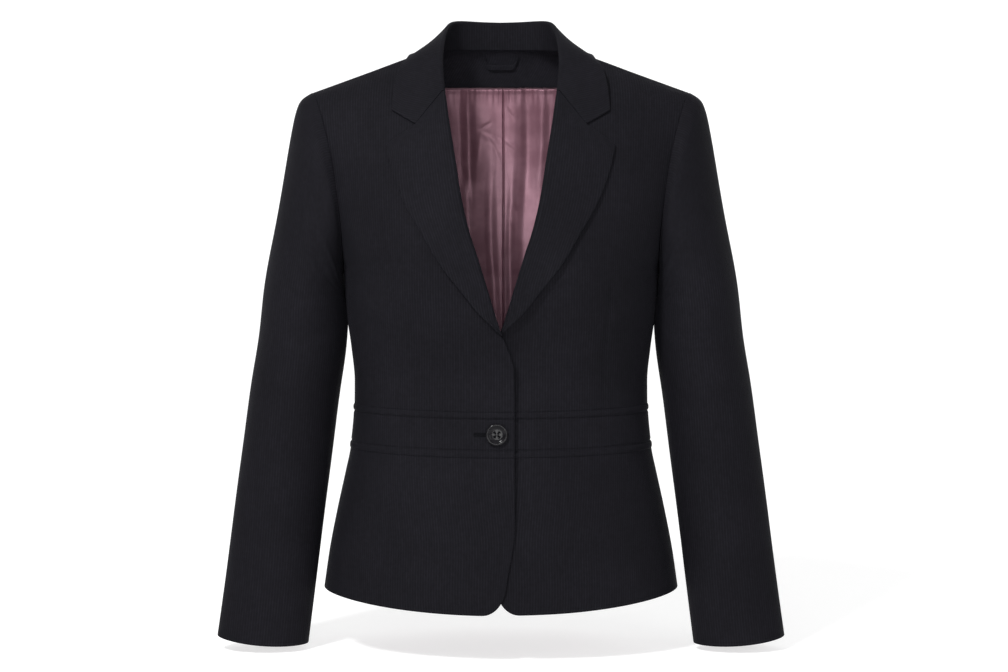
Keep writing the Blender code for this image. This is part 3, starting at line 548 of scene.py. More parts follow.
def place(tree, group_tree, **values):
    """A group node with its inputs linked or set."""
    node = tree.nodes.new("ShaderNodeGroup")
    node.node_tree = group_tree
    for label, value in values.items():
        put(tree, value, node.inputs[label])
    return node


def cloth_map(tree):
    """The cloth's own map: metres across the grain and along it."""
    node = tree.nodes.new("ShaderNodeUVMap")
    node.uv_map = "cloth"
    return node.outputs["UV"]


def object_place(tree):
    """The place of a point in the whole garment, in metres."""
    return tree.nodes.new("ShaderNodeTexCoord").outputs["Object"]


def tint(tree, shader, share, first, second):
    """Links a blend of two colours to the shader's base colour."""
    blend = mixed(tree, share, (*first, 1), (*second, 1))
    tree.links.new(blend, shader.inputs["Base Color"])


def bump(tree, shader, height_output, strength, distance):
    """Tilts the shader's normal by the slope of a height that is `distance` metres tall."""
    node = tree.nodes.new("ShaderNodeBump")
    node.inputs["Strength"].default_value = strength
    node.inputs["Distance"].default_value = distance
    put(tree, height_output, node.inputs["Height"])
    tree.links.new(node.outputs["Normal"], shader.inputs["Normal"])


def suiting(name, ground, stripe):
    """Woven cloth: ground and stripe colours mixed by the stripe's mask, times the tone."""
    made, tree, shader = material(name, ground, 0.85)
    shader.inputs["Sheen Weight"].default_value = 0.015
    shader.inputs["Sheen Roughness"].default_value = 0.4
    shader.inputs["Sheen Tint"].default_value = (0.6, 0.6, 0.75, 1)
    shader.inputs["Specular IOR Level"].default_value = 0.06
    where = cloth_map(tree)
    lines = place(tree, STRIPE, Map=where)
    threads = place(tree, WEAVE, Map=where)
    tone = place(tree, TONE, Place=object_place(tree))
    colour = mixed(tree, lines.outputs["Mask"], (*ground, 1), (*stripe, 1))
    scaled = tree.nodes.new("ShaderNodeVectorMath")
    scaled.operation = "SCALE"
    tree.links.new(colour, scaled.inputs[0])
    tree.links.new(tone.outputs["Tone"], scaled.inputs["Scale"])
    tree.links.new(scaled.outputs[0], shader.inputs["Base Color"])
    rough = ramp(tree, threads.outputs["Height"], -0.8, 0.8, 0.9, 0.72)
    tree.links.new(rough, shader.inputs["Roughness"])
    ribs = maths(tree, "MULTIPLY", lines.outputs["Mask"], 0.8)
    raised = maths(tree, "ADD", threads.outputs["Height"], ribs)
    bump(tree, shader, raised, 0.35, 0.00012)
    return made


def satin(name, colour, bright):
    """Smooth lining: a soft change of tone and a very fine rib across the grain. Part of its
    gloss takes the cloth's own colour, as it does on long bright threads."""
    made, tree, shader = material(name, colour, 0.46)
    shader.inputs["Metallic"].default_value = 0.4
    shader.inputs["Sheen Weight"].default_value = 0.1
    shader.inputs["Sheen Roughness"].default_value = 0.3
    shader.inputs["Sheen Tint"].default_value = (0.9, 0.62, 0.72, 1)
    tone = place(tree, TONE, Place=object_place(tree), Broad=9.0, Fine=60.0)
    share = ramp(tree, tone.outputs["Tone"], 0.8, 1.2)
    tint(tree, shader, share, colour, bright)
    threads = place(tree, WEAVE, Map=cloth_map(tree), Pitch=0.0005, Slant=0.4)
    rough = ramp(tree, threads.outputs["Height"], -0.8, 0.8, 0.5, 0.42)
    tree.links.new(rough, shader.inputs["Roughness"])
    bump(tree, shader, threads.outputs["Height"], 0.05, 0.00003)
    return made


def horn():
    """Smooth black horn: a tight, weak shine on a dark ground with a faint cloud in it."""
    made, tree, shader = material("button", (0.006, 0.006, 0.0075), 0.18)
    shader.inputs["Specular IOR Level"].default_value = 0.11
    cloud = ramp(tree, noise(tree, object_place(tree), 220.0, 3.0), 0.35, 0.7)
    tint(tree, shader, cloud, (0.004, 0.004, 0.005), (0.009, 0.0085, 0.010))
    return made


def yarn():
    """Twisted thread: slanting ribs along its own map."""
    made, tree, shader = material("sewing_thread", (0.003, 0.003, 0.004), 0.8)
    shader.inputs["Specular IOR Level"].default_value = 0.05
    twist = place(tree, WEAVE, Map=cloth_map(tree), Pitch=0.0004, Slant=1.0)
    share = ramp(tree, twist.outputs["Height"], -0.6, 0.6)
    tint(tree, shader, share, (0.003, 0.003, 0.004), (0.008, 0.0078, 0.0096))
    bump(tree, shader, twist.outputs["Height"], 0.4, 0.0001)
    return made


SUITING = suiting("suiting", (0.0047, 0.0045, 0.0061), (0.0086, 0.0082, 0.0110))
# painted light: the same suiting painted lighter for the neck's facing and loop, where hardly any
# light falls
SUITING_PAINTED_LIGHTER = suiting("suiting_painted_lighter", (0.0085, 0.0081, 0.0108), (0.0130, 0.0125, 0.0165))
REVERSE = satin("satin_reverse", (0.16, 0.08, 0.102), (0.21, 0.115, 0.143))
SATIN = satin("satin_lining", (0.195, 0.090, 0.119), (0.27, 0.140, 0.179))
HORN, THREAD = horn(), yarn()
print("materials:", [m.name for m in (SUITING, SUITING_PAINTED_LIGHTER, REVERSE, SATIN, HORN, THREAD)])

# %% [markdown]
# ## A piece of cloth as a closed wall
#
# Cloth has two faces and an edge. A piece could be one sheet with a Solidify modifier, but a
# seam needs more care than that: its two edges roll in where they meet. So each piece is two
# grids of points, and near a side extra rows follow a quarter circle. At a free edge both faces
# roll together, as a turned hem does, and at a seam only the outer face dips.

# %% From two grids to a mesh
EDGE_STEPS = np.array([0.0, 0.1, 0.4, 1.0])  # shares of the rolled width
EDGE_LEFT = 0.12  # share of the thickness that is left at a rolled edge
LEAST_RUN = 1.2  # a rolled width takes up at most 1 over this of the first row of cells
SHARP_CLOTH = 50.0  # degrees between faces from which an edge of cloth looks sharp


def oriented(grid, side):
    """The grid turned so that the named side is its first row. The same turn undoes itself."""
    if "column" in side:
        grid = np.swapaxes(grid, 0, 1)
    return grid[::-1] if "last" in side else grid


def rolled(piece, side, width, both=True, depth=1.0, extra=True, free=1.0):
    """Rolls one side. Across the last `width` the wall's half thickness follows the root of
    1 - (1 - d)^2, with d the share of the width from the edge; at a seam only the outer face
    drops, by `depth` of the wall. free is 0 along what stays square, and 1 elsewhere."""
    grid = oriented(piece, side)
    if extra:
        first, second = grid[0], grid[1]
        run = np.linalg.norm(second[:, :3] - first[:, :3], axis=-1, keepdims=True)
        share = EDGE_STEPS[:, None, None] * width / np.maximum(run, LEAST_RUN * width)
        grid = np.concatenate([first + (second - first) * share, grid[1:]])
    middle = (grid[..., :3] + grid[..., 3:6]) / 2
    away = distance_run(middle) / width
    full = (1 - free * (1 - np.sqrt(1 - (1 - np.clip(away, 0, 1)) ** 2)))[..., None]
    half = (grid[..., :3] - grid[..., 3:6]) / 2
    if both:
        half = half * (EDGE_LEFT + (1 - EDGE_LEFT) * full)
        outer, inner = middle + half, middle - half
    else:
        outer, inner = middle + half * (1 - depth * (1 - full)), middle - half
    grid = np.concatenate([outer, inner, grid[..., 6:]], axis=-1)
    if "last" in side:
        grid = grid[::-1]
    return np.swapaxes(grid, 0, 1) if "column" in side else grid


def cloth_layer(mesh, uv):
    """The cloth's map: every corner of a face takes its point's two values, in metres."""
    layer = mesh.uv_layers.new(name="cloth")
    corners = np.empty(len(mesh.loops), int)
    mesh.loops.foreach_get("vertex_index", corners)
    layer.data.foreach_set("uv", (uv[corners] * MM).ravel())


def in_scene(name, data):
    """An object that shows a mesh, a light or a camera, linked to the scene."""
    made = bpy.data.objects.new(name, data)
    bpy.context.scene.collection.objects.link(made)
    return made


def smooth_object(name, mesh, sharp):
    """The mesh as an object, smooth except where faces meet at more than `sharp` degrees."""
    mesh.shade_smooth()
    mesh.set_sharp_from_angle(angle=math.radians(sharp))
    return in_scene(name, mesh)


def build(name, points, faces, uv, slots, materials):
    """A mesh object in metres from points in millimetres, with the cloth's map per corner."""
    mesh = bpy.data.meshes.new(name)
    mesh.from_pydata((points * MM).tolist(), [], faces.tolist())
    cloth_layer(mesh, uv)
    for finish in materials:
        mesh.materials.append(finish)
    mesh.polygons.foreach_set("material_index", slots)
    return smooth_object(name, mesh, SHARP_CLOTH)


def wall(name, piece, side="left", outside=None, inside=None, faced=None):
    """Quads on the outer grid, quads on the inner grid the other way round, and a strip along
    the rim. The wearer's right is the left with x negated. Where faced(x, z) is true, the
    inner face is suiting too, as on a facing."""
    outer, inner, uv = piece[..., :3].copy(), piece[..., 3:6].copy(), piece[..., 6:]
    if side == "right":
        outer[..., 0] *= -1
        inner[..., 0] *= -1
    rows, columns = outer.shape[:2]
    count = rows * columns
    at = np.arange(count).reshape(rows, columns)
    face = np.stack([at[:-1, :-1], at[:-1, 1:], at[1:, 1:], at[1:, :-1]], -1).reshape(-1, 4)
    rim = np.concatenate([at[0], at[1:, -1], at[-1, -2::-1], at[-2:0:-1, 0]])
    ahead = np.roll(rim, -1)
    strip = np.stack([ahead, rim, rim + count, ahead + count], -1)
    faces = np.concatenate([face, face[:, ::-1] + count, strip])
    over, up = outer[:-1, 1:] - outer[:-1, :-1], outer[1:, :-1] - outer[:-1, :-1]
    if (np.cross(over, up) * (outer - inner)[:-1, :-1]).sum() < 0:
        faces = faces[:, ::-1]
    points = np.concatenate([outer.reshape(-1, 3), inner.reshape(-1, 3)])
    both = np.concatenate([uv.reshape(-1, 2)] * 2)
    slots = np.zeros(len(faces), int)
    slots[len(face) : 2 * len(face)] = 1
    if faced:
        spot = np.abs(inner[:-1, :-1].reshape(-1, 3))
        shown = faced(spot[:, 0], inner[:-1, :-1, 2].ravel())
        slots[len(face) : 2 * len(face)][shown] = 0
    return build(name, points, faces, both, slots, [outside or SUITING, inside or REVERSE])


def mapped(outer, start=0.0, rows_up=None):
    """The cloth's map: the distance run across each row, and the level or the distance run
    up the middle column."""
    u = distance_run(outer, 1) + np.reshape(start, (-1, 1))
    if rows_up is None:
        rows_up = distance_run(outer[:, outer.shape[1] // 2])[:, None]
    v = np.broadcast_to(rows_up, u.shape)
    return np.stack([u, v], -1)


def thick_piece(outer, normal, thick, uv):
    """Side by side: the outer points, the same moved in by the thickness, and the map."""
    return np.concatenate([outer, outer - thick * normal, uv], axis=-1)


# %% Declaring a piece
SIDES = (("left", -1), ("right", 1))  # the right front lies on the left one
MIRROR = np.array([-1, 1, 1])
triangle_counts = []


def declare(piece, node, area):
    """Hangs the piece on the root, hides the plain part that it replaces, and prints its triangles
    and its area and the cut area in square centimetres. Half its faces' area is about one side's."""
    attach(piece, "root")
    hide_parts(node)
    triangles = sum(len(p.vertices) - 2 for p in piece.data.polygons)
    triangle_counts.append(triangles)
    half = sum(p.area for p in piece.data.polygons) / 2
    print(f"{piece.name}: {triangles} triangles, {half * 1e4:.0f} cm2 of {area} cut")


# %% [markdown]
# ## Creases
#
# Worn cloth is never quite smooth. Each crease is listed: a line between two points of
# the front view, how wide it is, and how deep. It fades towards both ends. A positive depth is
# a ridge and a negative one is a trough.


# %% Soft creases from a short table
CREASE_REACH = 0.42  # share of a crease's length over which it fades, each way
CREASE_POWER = 10  # how late along a row the creases fade


def bell(value, middle, wide):
    """e to the minus square of the distance from the middle over the width."""
    return np.exp(-(((value - middle) / wide) ** 2))


def creases(source, x, z):
    """The sum of hills along segments: each is its depth times a bell of the distance to the
    segment, times a bell of the place along it."""
    total = np.zeros(np.shape(x))
    for x1, z1, x2, z2, wide, deep in zip(*(source[k] for k in "x1 z1 x2 z2 wide deep".split())):
        long = math.hypot(x2 - x1, z2 - z1)
        along = ((x - x1) * (x2 - x1) + (z - z1) * (z2 - z1)) / long
        off = ((x - x1) * (z2 - z1) - (z - z1) * (x2 - x1)) / long
        fade = np.exp(-(((along - long / 2) / (CREASE_REACH * long)) ** 4))
        total = total + deep * np.exp(-((off / wide) ** 2)) * fade
    return total


FRONT_CREASES = table(
    "x1 z1 x2 z2 wide deep",
    [
        (158, -262, 112, -300, 7, 0.9), (160, -282, 122, -312, 6, -0.7),
        (156, -330, 120, -345, 8, 0.6), (152, -372, 96, -362, 7, -0.5),
        (60, -378, 18, -398, 6, 0.5), (168, -226, 150, -262, 6, -0.8),
        (160, -200, 138, -240, 9, 0.7), (96, -150, 150, -120, 12, 0.5),
    ],
)
# A dart's x at each height, where it fades out, and the depth and width of its parts.
DART = table("z x", [(-388, 109), (-350, 110), (-314, 112), (-280, 115), (-240, 119)])
DART_TOP = (-238.0, -262.0)
GROOVE, HOLLOW = (0.6, 1.2), (0.45, 9.0)


def dart(x, z):
    """A stitched dart: a narrow groove in a wide hollow, along a line that slants."""
    line = read(DART, "x", z, "z")
    return sum(-deep * bell(x, line, wide) for deep, wide in (GROOVE, HOLLOW)) * ease(z, *DART_TOP)


# %% [markdown]
# ## The fronts
#
# Each front is cut from the waistband up to the shoulder, with a dart under the bust. Its free
# edge is covered by the lapel. The grid's rows follow the body's levels, and its columns run
# from the opening to the side seam or the armhole. The reverse is lined.

# %% Upper fronts
TROUGH = (4.0, 18.0, 8.0)  # depth, x and width of the hollow beside the upper front's edge
TROUGH_TOP, TROUGH_FOOT = (-296.0, -326.0), (-560.0, -440.0)  # heights where it fades
TURNED_IN_X, TURNED_IN_Z = 158.0, -268.0  # beyond these the inner face is suiting
FACED_X, FACED_MORE, FACED_Z = 52.0, 30.0, (-260.0, -60.0)  # the strip behind the front edge
NECK_Z, NECK_X = -26.0, 130.0  # the strip below the neck at the back
SEAM, ARMHOLE_SEAM = (0.9, 0.3), (1.4, 0.7)  # how wide and how deep the outer face dips
EDGE_WIDE = 0.8  # how far in a free edge is rolled


def edge_shade(x, z, layer):
    """Only on the lower front: a trough beside the upper front's edge, so that the upper one
    stands off it and the light throws a soft dark band there."""
    deep, middle, wide = TROUGH
    fade = ease(z, *TROUGH_TOP) * ease(z, *TROUGH_FOOT)
    return -deep * bell(x, middle, wide) * fade * (layer < 0)


def grid_of(starts, ends, levels, count, power=1.0):
    """(across, level) grids whose rows run from starts to ends."""
    share = np.linspace(0, 1, count) ** power
    across = starts[:, None] + (ends - starts)[:, None] * share
    return across, np.repeat(levels[:, None], count, axis=1)


def seamed(piece, seams=(), edges=()):
    """Dips the outer face along the seams, and rolls the free edges."""
    for side in seams:
        piece = rolled(piece, side, SEAM[0], both=False, depth=SEAM[1])
    for side in edges:
        piece = rolled(piece, side, EDGE_WIDE)
    return piece


def upper_front(layer):
    """Rows of the body's front from the opening's x out to the seam, moved out by creases,
    dart and trough, which fade towards the seam. Columns lie closer together near it."""
    rows, columns, power = 150, 84, 0.92
    levels = np.linspace(BAND_TOP, SHOULDER, rows)
    start_x = opening_x(levels, UNDER_LAPEL)
    across, level = grid_of(across_at(start_x, levels), np.ones(rows), levels, columns, power)
    base = body(True, across, level, layer)
    normal = outward(True, across, level, layer)
    x, z = base[..., 0], base[..., 2]
    relief = creases(FRONT_CREASES, x, z) + dart(x, z) + edge_shade(x, z, layer)
    outer = base + (relief * fading(across, CREASE_POWER))[..., None] * normal
    piece = thick_piece(outer, normal, SHELL, mapped(outer, start_x, level))
    piece = seamed(piece, ("first_row", "last_row"), ("first_column",))
    return rolled(piece, "last_column", ARMHOLE_SEAM[0], both=False, depth=ARMHOLE_SEAM[1])


def near_armhole(x, z):
    """Round the armhole the suiting is turned in, and covers the satin."""
    return (x > TURNED_IN_X) & (z > TURNED_IN_Z)


def front_facing(x, z):
    """The strip behind the front edge that is faced with suiting, and the armhole's edge."""
    return (x < FACED_X + FACED_MORE * ease(z, *FACED_Z)) | near_armhole(x, z)


def back_facing(x, z):
    """The same at the back: a strip below the neck, and the armhole's edge."""
    return ((z > NECK_Z) & (x < NECK_X)) | near_armhole(x, z)


for side, layer in SIDES:
    front = wall(f"upper_front_{side}", upper_front(layer), side, faced=front_facing)
    declare(front, f"front_{side}", 700)

# %% [markdown]
# ## The backs
#
# The back has a seam down the middle. Above the nape each row starts on the neckline, which is
# an arc.

# %% Upper backs
BACK_CREASES = table(
    "x1 z1 x2 z2 wide deep",
    [
        (160, -240, 120, -290, 9, 0.8), (150, -300, 100, -340, 8, -0.6),
        (140, -372, 60, -352, 9, 0.6), (60, -330, 14, -380, 10, -0.5),
        (165, -190, 140, -235, 8, -0.7), (90, -80, 150, -110, 14, 0.5),
    ],
)


NECK_REACH = 0.385  # share of the shoulder's row where the back neckline ends


def neck_start(levels):
    """How far across a row of the back its neckline lies: 0 below the nape, then an arc."""
    rise = np.clip((SHOULDER - levels) / (SHOULDER - NAPE), 0, 1)
    return NECK_REACH * np.sqrt(1 - rise**2)


def upper_back():
    """Rows of the body's back, moved out by creases. Above the nape they come closer together
    towards the shoulder, by a power."""
    rows, neck_rows, columns, power = 134, 18, 80, 1.6
    near_top = SHOULDER - (SHOULDER - NAPE) * np.linspace(1, 0, neck_rows) ** power
    levels = np.concatenate([np.linspace(BAND_TOP, NAPE, rows)[:-1], near_top])
    across, level = grid_of(neck_start(levels), np.ones_like(levels), levels, columns)
    base = body(False, across, level)
    normal = outward(False, across, level)
    relief = creases(BACK_CREASES, base[..., 0], base[..., 2]) * fading(across, CREASE_POWER)
    outer = base + relief[..., None] * normal
    piece = thick_piece(outer, normal, SHELL, mapped(outer, base[:, 0, 0], level))
    return seamed(piece, ("first_row", "last_row", "last_column", "first_column"))


for side, layer in SIDES:
    back = wall(f"upper_back_{side}", upper_back(), side, faced=back_facing)
    declare(back, f"back_{side}", 847)

# %% [markdown]
# ## The waistband and the skirt of the jacket
#
# A band of doubled cloth is let in at the waist and stands slightly proud. Below it the skirt
# flares to the hem, and its front corners are rounded.


# %% Waistband
BAND_STITCH = 7.4  # from each of the band's seams to its stitches
BAND_GROOVE, GROOVE_WIDE = 0.9, 1.15
BAND_PUFF = 0.7  # the cloth swells this much between a seam and its stitches
BAND_FACE = BAND_LIFT - 0.2  # how far its face stands out, before that relief
BAND_SEAM = (1.5, 0.75)  # how wide and how deep its long seams dip
MAP_START = {True: -FRONT_EXTENSION, False: -250.0}  # stripes are counted from here; True: front


def band_relief(level):
    """A bell-shaped groove along each row of stitches, and half a sine between it and the
    seam, where the turned edges fill the cloth."""
    away = np.minimum(level - BAND_LOW, BAND_TOP - level)
    groove = BAND_GROOVE * bell(away, BAND_STITCH, GROOVE_WIDE)
    puff = BAND_PUFF * np.sin(math.pi * np.clip(away / BAND_STITCH, 0, 1))
    return puff - groove


def waistband(front, layer=0):
    """Rows of the body between the band's two levels, moved out by its lift and relief. The
    back runs in one piece from one side seam to the other."""
    rows, columns, power = (88, 90, 0.92) if front else (88, 170, 1.0)
    levels = np.linspace(BAND_LOW, BAND_TOP, rows)
    starts = across_at(np.full(rows, -FRONT_EXTENSION), levels) if front else -np.ones(rows)
    across, level = grid_of(starts, np.ones(rows), levels, columns, power)
    normal = outward(front, across, level, layer)
    base = body(front, across, level, layer)
    lift = BAND_FACE + band_relief(level)
    if front:
        lift = lift + edge_shade(base[..., 0], base[..., 2], layer)
    outer = base + lift[..., None] * normal
    piece = thick_piece(outer, normal, BAND, mapped(outer, MAP_START[front], level))
    for edge in ("first_row", "last_row"):
        piece = rolled(piece, edge, BAND_SEAM[0], both=False, depth=BAND_SEAM[1])
    if front:
        return seamed(piece, ("last_column",), ("first_column",))
    return seamed(piece, ("first_column", "last_column"))


for side, layer in SIDES:
    band = wall(f"band_front_{side}", waistband(True, layer), side)
    declare(band, f"waistband_front_{side}", 117)
band = wall("band_back", waistband(False))
declare(band, "waistband_back", 191)


# %% Skirt fronts, with rounded corners
PEPLUM_SLANT = 10.5  # the front edge slants away this much towards the hem
SLANT_Z = (-505.0, -590.0)
SKIRT_ROWS = 66


def skirt_edge(z):
    """x of the front edge below the waistband, which slants away above the corner."""
    return -FRONT_EXTENSION + PEPLUM_SLANT * ease(z, *SLANT_Z)


def skirt_front(layer):
    """Columns drop from the waistband to the hem. In the first of them the hem rises by 1
    less the root of 1 minus a square, which is a quarter circle, and rounds the corner."""
    round_columns, columns = 16, 92
    drop = np.linspace(0, 1, SKIRT_ROWS)[:, None]
    corner = 1 - np.cos(np.linspace(0, math.pi / 2, round_columns))
    run, lift = np.full(columns, HEM_CORNER), np.zeros(columns)
    run[:round_columns] = HEM_CORNER * corner
    lift[:round_columns] = HEM_CORNER * (1 - np.sqrt(1 - (1 - corner) ** 2))
    share = np.clip(np.arange(columns) - round_columns + 1, 0, None) / (columns - round_columns)
    level = BAND_LOW + (HEM + lift - BAND_LOW) * drop
    start = across_at(skirt_edge(read(FRONT_MIDDLE, "z", level)) + run, level)
    across = start + (1 - start) * share
    normal = outward(True, across, level, layer)
    base = body(True, across, level, layer)
    outer = base + edge_shade(base[..., 0], base[..., 2], layer)[..., None] * normal
    piece = thick_piece(outer, normal, SHELL, mapped(outer, -FRONT_EXTENSION, level))
    piece = seamed(piece, ("first_row", "last_column"), ("last_row",))
    return rolled(piece, "first_column", EDGE_WIDE, extra=False)


def skirt_back():
    """Plain rows of the body's back, from the middle seam to the side."""
    columns = 80
    levels = np.linspace(BAND_LOW, HEM, SKIRT_ROWS)
    across, level = grid_of(np.zeros(SKIRT_ROWS), np.ones(SKIRT_ROWS), levels, columns)
    normal = outward(False, across, level)
    outer = body(False, across, level)
    piece = thick_piece(outer, normal, SHELL, mapped(outer, 0.0, level))
    return seamed(piece, ("first_row", "first_column", "last_column"), ("last_row",))


for side, layer in SIDES:
    skirt = wall(f"skirt_front_{side}", skirt_front(layer), side)
    declare(skirt, f"peplum_front_{side}", 411)
    skirt = wall(f"skirt_back_{side}", skirt_back(), side)
    declare(skirt, f"peplum_back_{side}", 360)

# %% [markdown]
# ## Lapels and collar
#
# A lapel is the top of the front folded outwards along the roll line. A row of it runs from
# inside, round the fold, and out to the edge, lying a little clear of the chest. The collar is
# the same idea carried round the neck, so both are built by carrying a folded profile along
# the neckline.

# %% Folded rows
NOTCH_SHARE = 0.5
FOLD_TURNS = np.radians(np.linspace(0, 180, 13))
LEAF_SHARES = np.concatenate([np.linspace(0.03, 0.97, 46), [1.0]])
SETTLED = 0.9  # the share of a lapel's width at which it has its resting height
AHEAD = 2.0  # a short step towards the edge, which tells the fold's direction


def kink(share):
    """1 at the notch, falling straight to 0 at both ends."""
    return np.where(share < NOTCH_SHARE, share / NOTCH_SHARE, (1 - share) / (1 - NOTCH_SHARE))


def fold_rows(centre, top, out):
    """Half a turn of the cloth's middle round a fold: from the inner leaf to the outer."""
    turn = FOLD_TURNS[:, None]
    aside = np.sin(turn) * top[:, None] - np.cos(turn) * out[:, None]
    return centre[:, None] + FOLD_RADIUS * aside


def folded_front(roll, edge, bend, lift, layer, run):
    """The middle of a lapel's cloth, a row for each roll point: back inside, half a turn
    round the fold, and out to the edge, its height easing to its resting height."""
    away = unit(edge - roll)
    centre_at = roll + away * (FOLD_RADIUS + LEAF / 2)
    under = np.full(len(roll), -SHELL / 2)
    centre, out = on_front(*centre_at.T, under, layer)
    ahead, _ = on_front(*(centre_at + AHEAD * away).T, under, layer)
    top = -unit(ahead - centre)
    inside, _ = on_front(*(centre_at + away * run[:, None]).T, under - FOLD_RADIUS, layer)
    share = LEAF_SHARES[None, :, None]
    spots = centre_at[:, None] + (edge - centre_at)[:, None] * share
    spots = spots + bend[:, None] * kink(share)
    settle = FOLD_RADIUS - SHELL / 2
    rest = PLY_GAP + LEAF / 2 + lift[:, None]
    lifts = settle + (rest - settle) * ease(LEAF_SHARES, 0, SETTLED)
    leaf, _ = on_front(spots[..., 0], spots[..., 1], lifts, layer)
    return np.concatenate([inside[:, None], fold_rows(centre, top, out), leaf], axis=1)


def thickened(path, thick, uv):
    """Outer and inner grids, each half the thickness away from a middle surface."""
    normal = unit(np.cross(np.gradient(path, axis=1), np.gradient(path, axis=0)))
    return np.concatenate([path + thick / 2 * normal, path - thick / 2 * normal, uv], axis=-1)


# %% Lapels
LAPEL_LIFT = 1.3  # how far the lapel's edge stands off the front
LAPEL_BELLY = (1.6, -262.0, 48.0)  # and further off the chest: height, z, half height
BELLY_Z = (-322.0, -300.0)  # where that begins
LEAST_LEAF = 4.0  # the lapel's width where it begins
BREAK_FOLD = 2.0  # there the cloth goes back inside this far, and UNDER_FOLD from DEEP_Z up
DEEP_Z = (-300.0, -250.0)
NOTCH_EASE = 0.02  # half the share over which the seam ends there
LAST_ROW = len(LAPEL_ROWS["roll_z"]) - 1  # the lapel's top edge; the notch is in it


def past_notch(count):
    """0 on the columns that are sewn into the gorge seam, and 1 on those beyond the notch."""
    leaf = count - len(LEAF_SHARES)
    shares = np.concatenate([np.zeros(leaf), LEAF_SHARES])
    return ease(shares, NOTCH_SHARE - NOTCH_EASE, NOTCH_SHARE + NOTCH_EASE)


def lapel(layer):
    """A folded row for each pair of the table's places on the roll line and on the edge. Over
    the last of them the row bends to the notch, so that the top edge runs along the gorge."""
    low_rows, top_rows = 100, 9
    knee = LAST_ROW - 1
    at = np.concatenate([np.linspace(0, knee, low_rows), np.linspace(knee, LAST_ROW, top_rows)[1:]])
    source = {"row": np.arange(LAST_ROW + 1), **LAPEL_ROWS}
    roll_z, edge_z = read(source, "roll_z", at, "row"), read(source, "edge_z", at, "row")
    roll = np.stack([read(OPENING, "x", roll_z, "z"), roll_z], -1)
    edge = np.stack([read(LAPEL_EDGE, "x", edge_z, "z"), edge_z], -1)
    edge[:, 0] = np.maximum(edge[:, 0], roll[:, 0] + LEAST_LEAF)
    bend = (NOTCH - (GORGE_TOP + LAPEL_TIP) / 2) * np.clip(at - knee, 0, 1)[:, None]
    high, middle, tall = LAPEL_BELLY
    lift = LAPEL_LIFT + high * bell(edge_z, middle, tall) * ease(edge_z, *BELLY_Z)
    run = BREAK_FOLD + (UNDER_FOLD - BREAK_FOLD) * ease(roll_z, *DEEP_Z)
    path = folded_front(roll, edge, bend, lift, layer, run)
    piece = thickened(path, LEAF, mapped(path))
    piece = rolled(piece, "last_row", EDGE_WIDE, free=past_notch(piece.shape[1]))
    return seamed(piece, (), ("first_row", "last_column"))


for side, layer in SIDES:
    leaf = wall(f"turned_lapel_{side}", lapel(layer), side, inside=SUITING)
    declare(leaf, f"lapel_{side}", 157)


# %% Collar
STAND_RISE = np.linspace(0, 1, 13)[:-1, None]  # places up the stand, below the fold
NECK_PARTS = ((True, 440.0), (False, 470.0))  # front and back, and the level where each begins
NECK_END, NECK_GRID = 0.8, 70  # how far across a row, and how many points each way
NEAR, CHUNKS = 2.5, 12  # how far aside a point may lie, and the parts that are compared
COARSE_ROWS, FINE_ROWS = 20, 96


def collar_rows(stand, crest, edge, swell):
    """The middle of the collar's cloth at each station: up the stand, half a turn over the
    fold, and down the fall, which swells by a parabola."""
    down, fall = unit(stand - crest), unit(edge - crest)
    out = unit(fall - down)
    top = -unit(down + fall)
    middle = fold_rows(crest - top * (FOLD_RADIUS + LEAF / 2), top, out)
    share = LEAF_SHARES[None, :, None]
    last = middle[:, -1:]
    leaf = last + (edge[:, None] - last) * share
    leaf = leaf + out[:, None] * swell[:, None, None] * 4 * share * (1 - share)
    stands = stand[:, None] + (middle[:, :1] - stand[:, None]) * STAND_RISE
    return np.concatenate([stands, middle, leaf], axis=1)


def round_neck():
    """Close points of the body round the neck, with its outward normals."""
    points, normals = [], []
    for front, low in NECK_PARTS:
        levels = np.linspace(low, SHOULDER, NECK_GRID)
        starts = across_at(opening_x(levels, 0), levels) if front else neck_start(levels)
        across, level = grid_of(starts, np.full(NECK_GRID, NECK_END), levels, NECK_GRID)
        points.append(body(front, across, level).reshape(-1, 3))
        normals.append(outward(front, across, level).reshape(-1, 3))
    return np.concatenate(points), np.concatenate(normals)


def clear_of_body(grid, room):
    """Moves points out along the nearest normal until they are at least room outside. The
    square of a distance is the sum of both squares less twice the dot product, and a few
    points are compared with all the others at a time."""
    points, normals = round_neck()
    flat = grid.reshape(-1, 3).copy()
    square = (points**2).sum(1)
    parts = np.array_split(flat, CHUNKS)
    nearest = np.concatenate([np.argmin(square - 2 * part @ points.T, axis=1) for part in parts])
    away, normal = flat - points[nearest], normals[nearest]
    out = (away * normal).sum(1, keepdims=True)
    aside = np.linalg.norm(away - out * normal, axis=1, keepdims=True)
    near = (out < room) & (aside < NEAR)
    return np.where(near, flat + (room - out) * normal, flat).reshape(grid.shape)


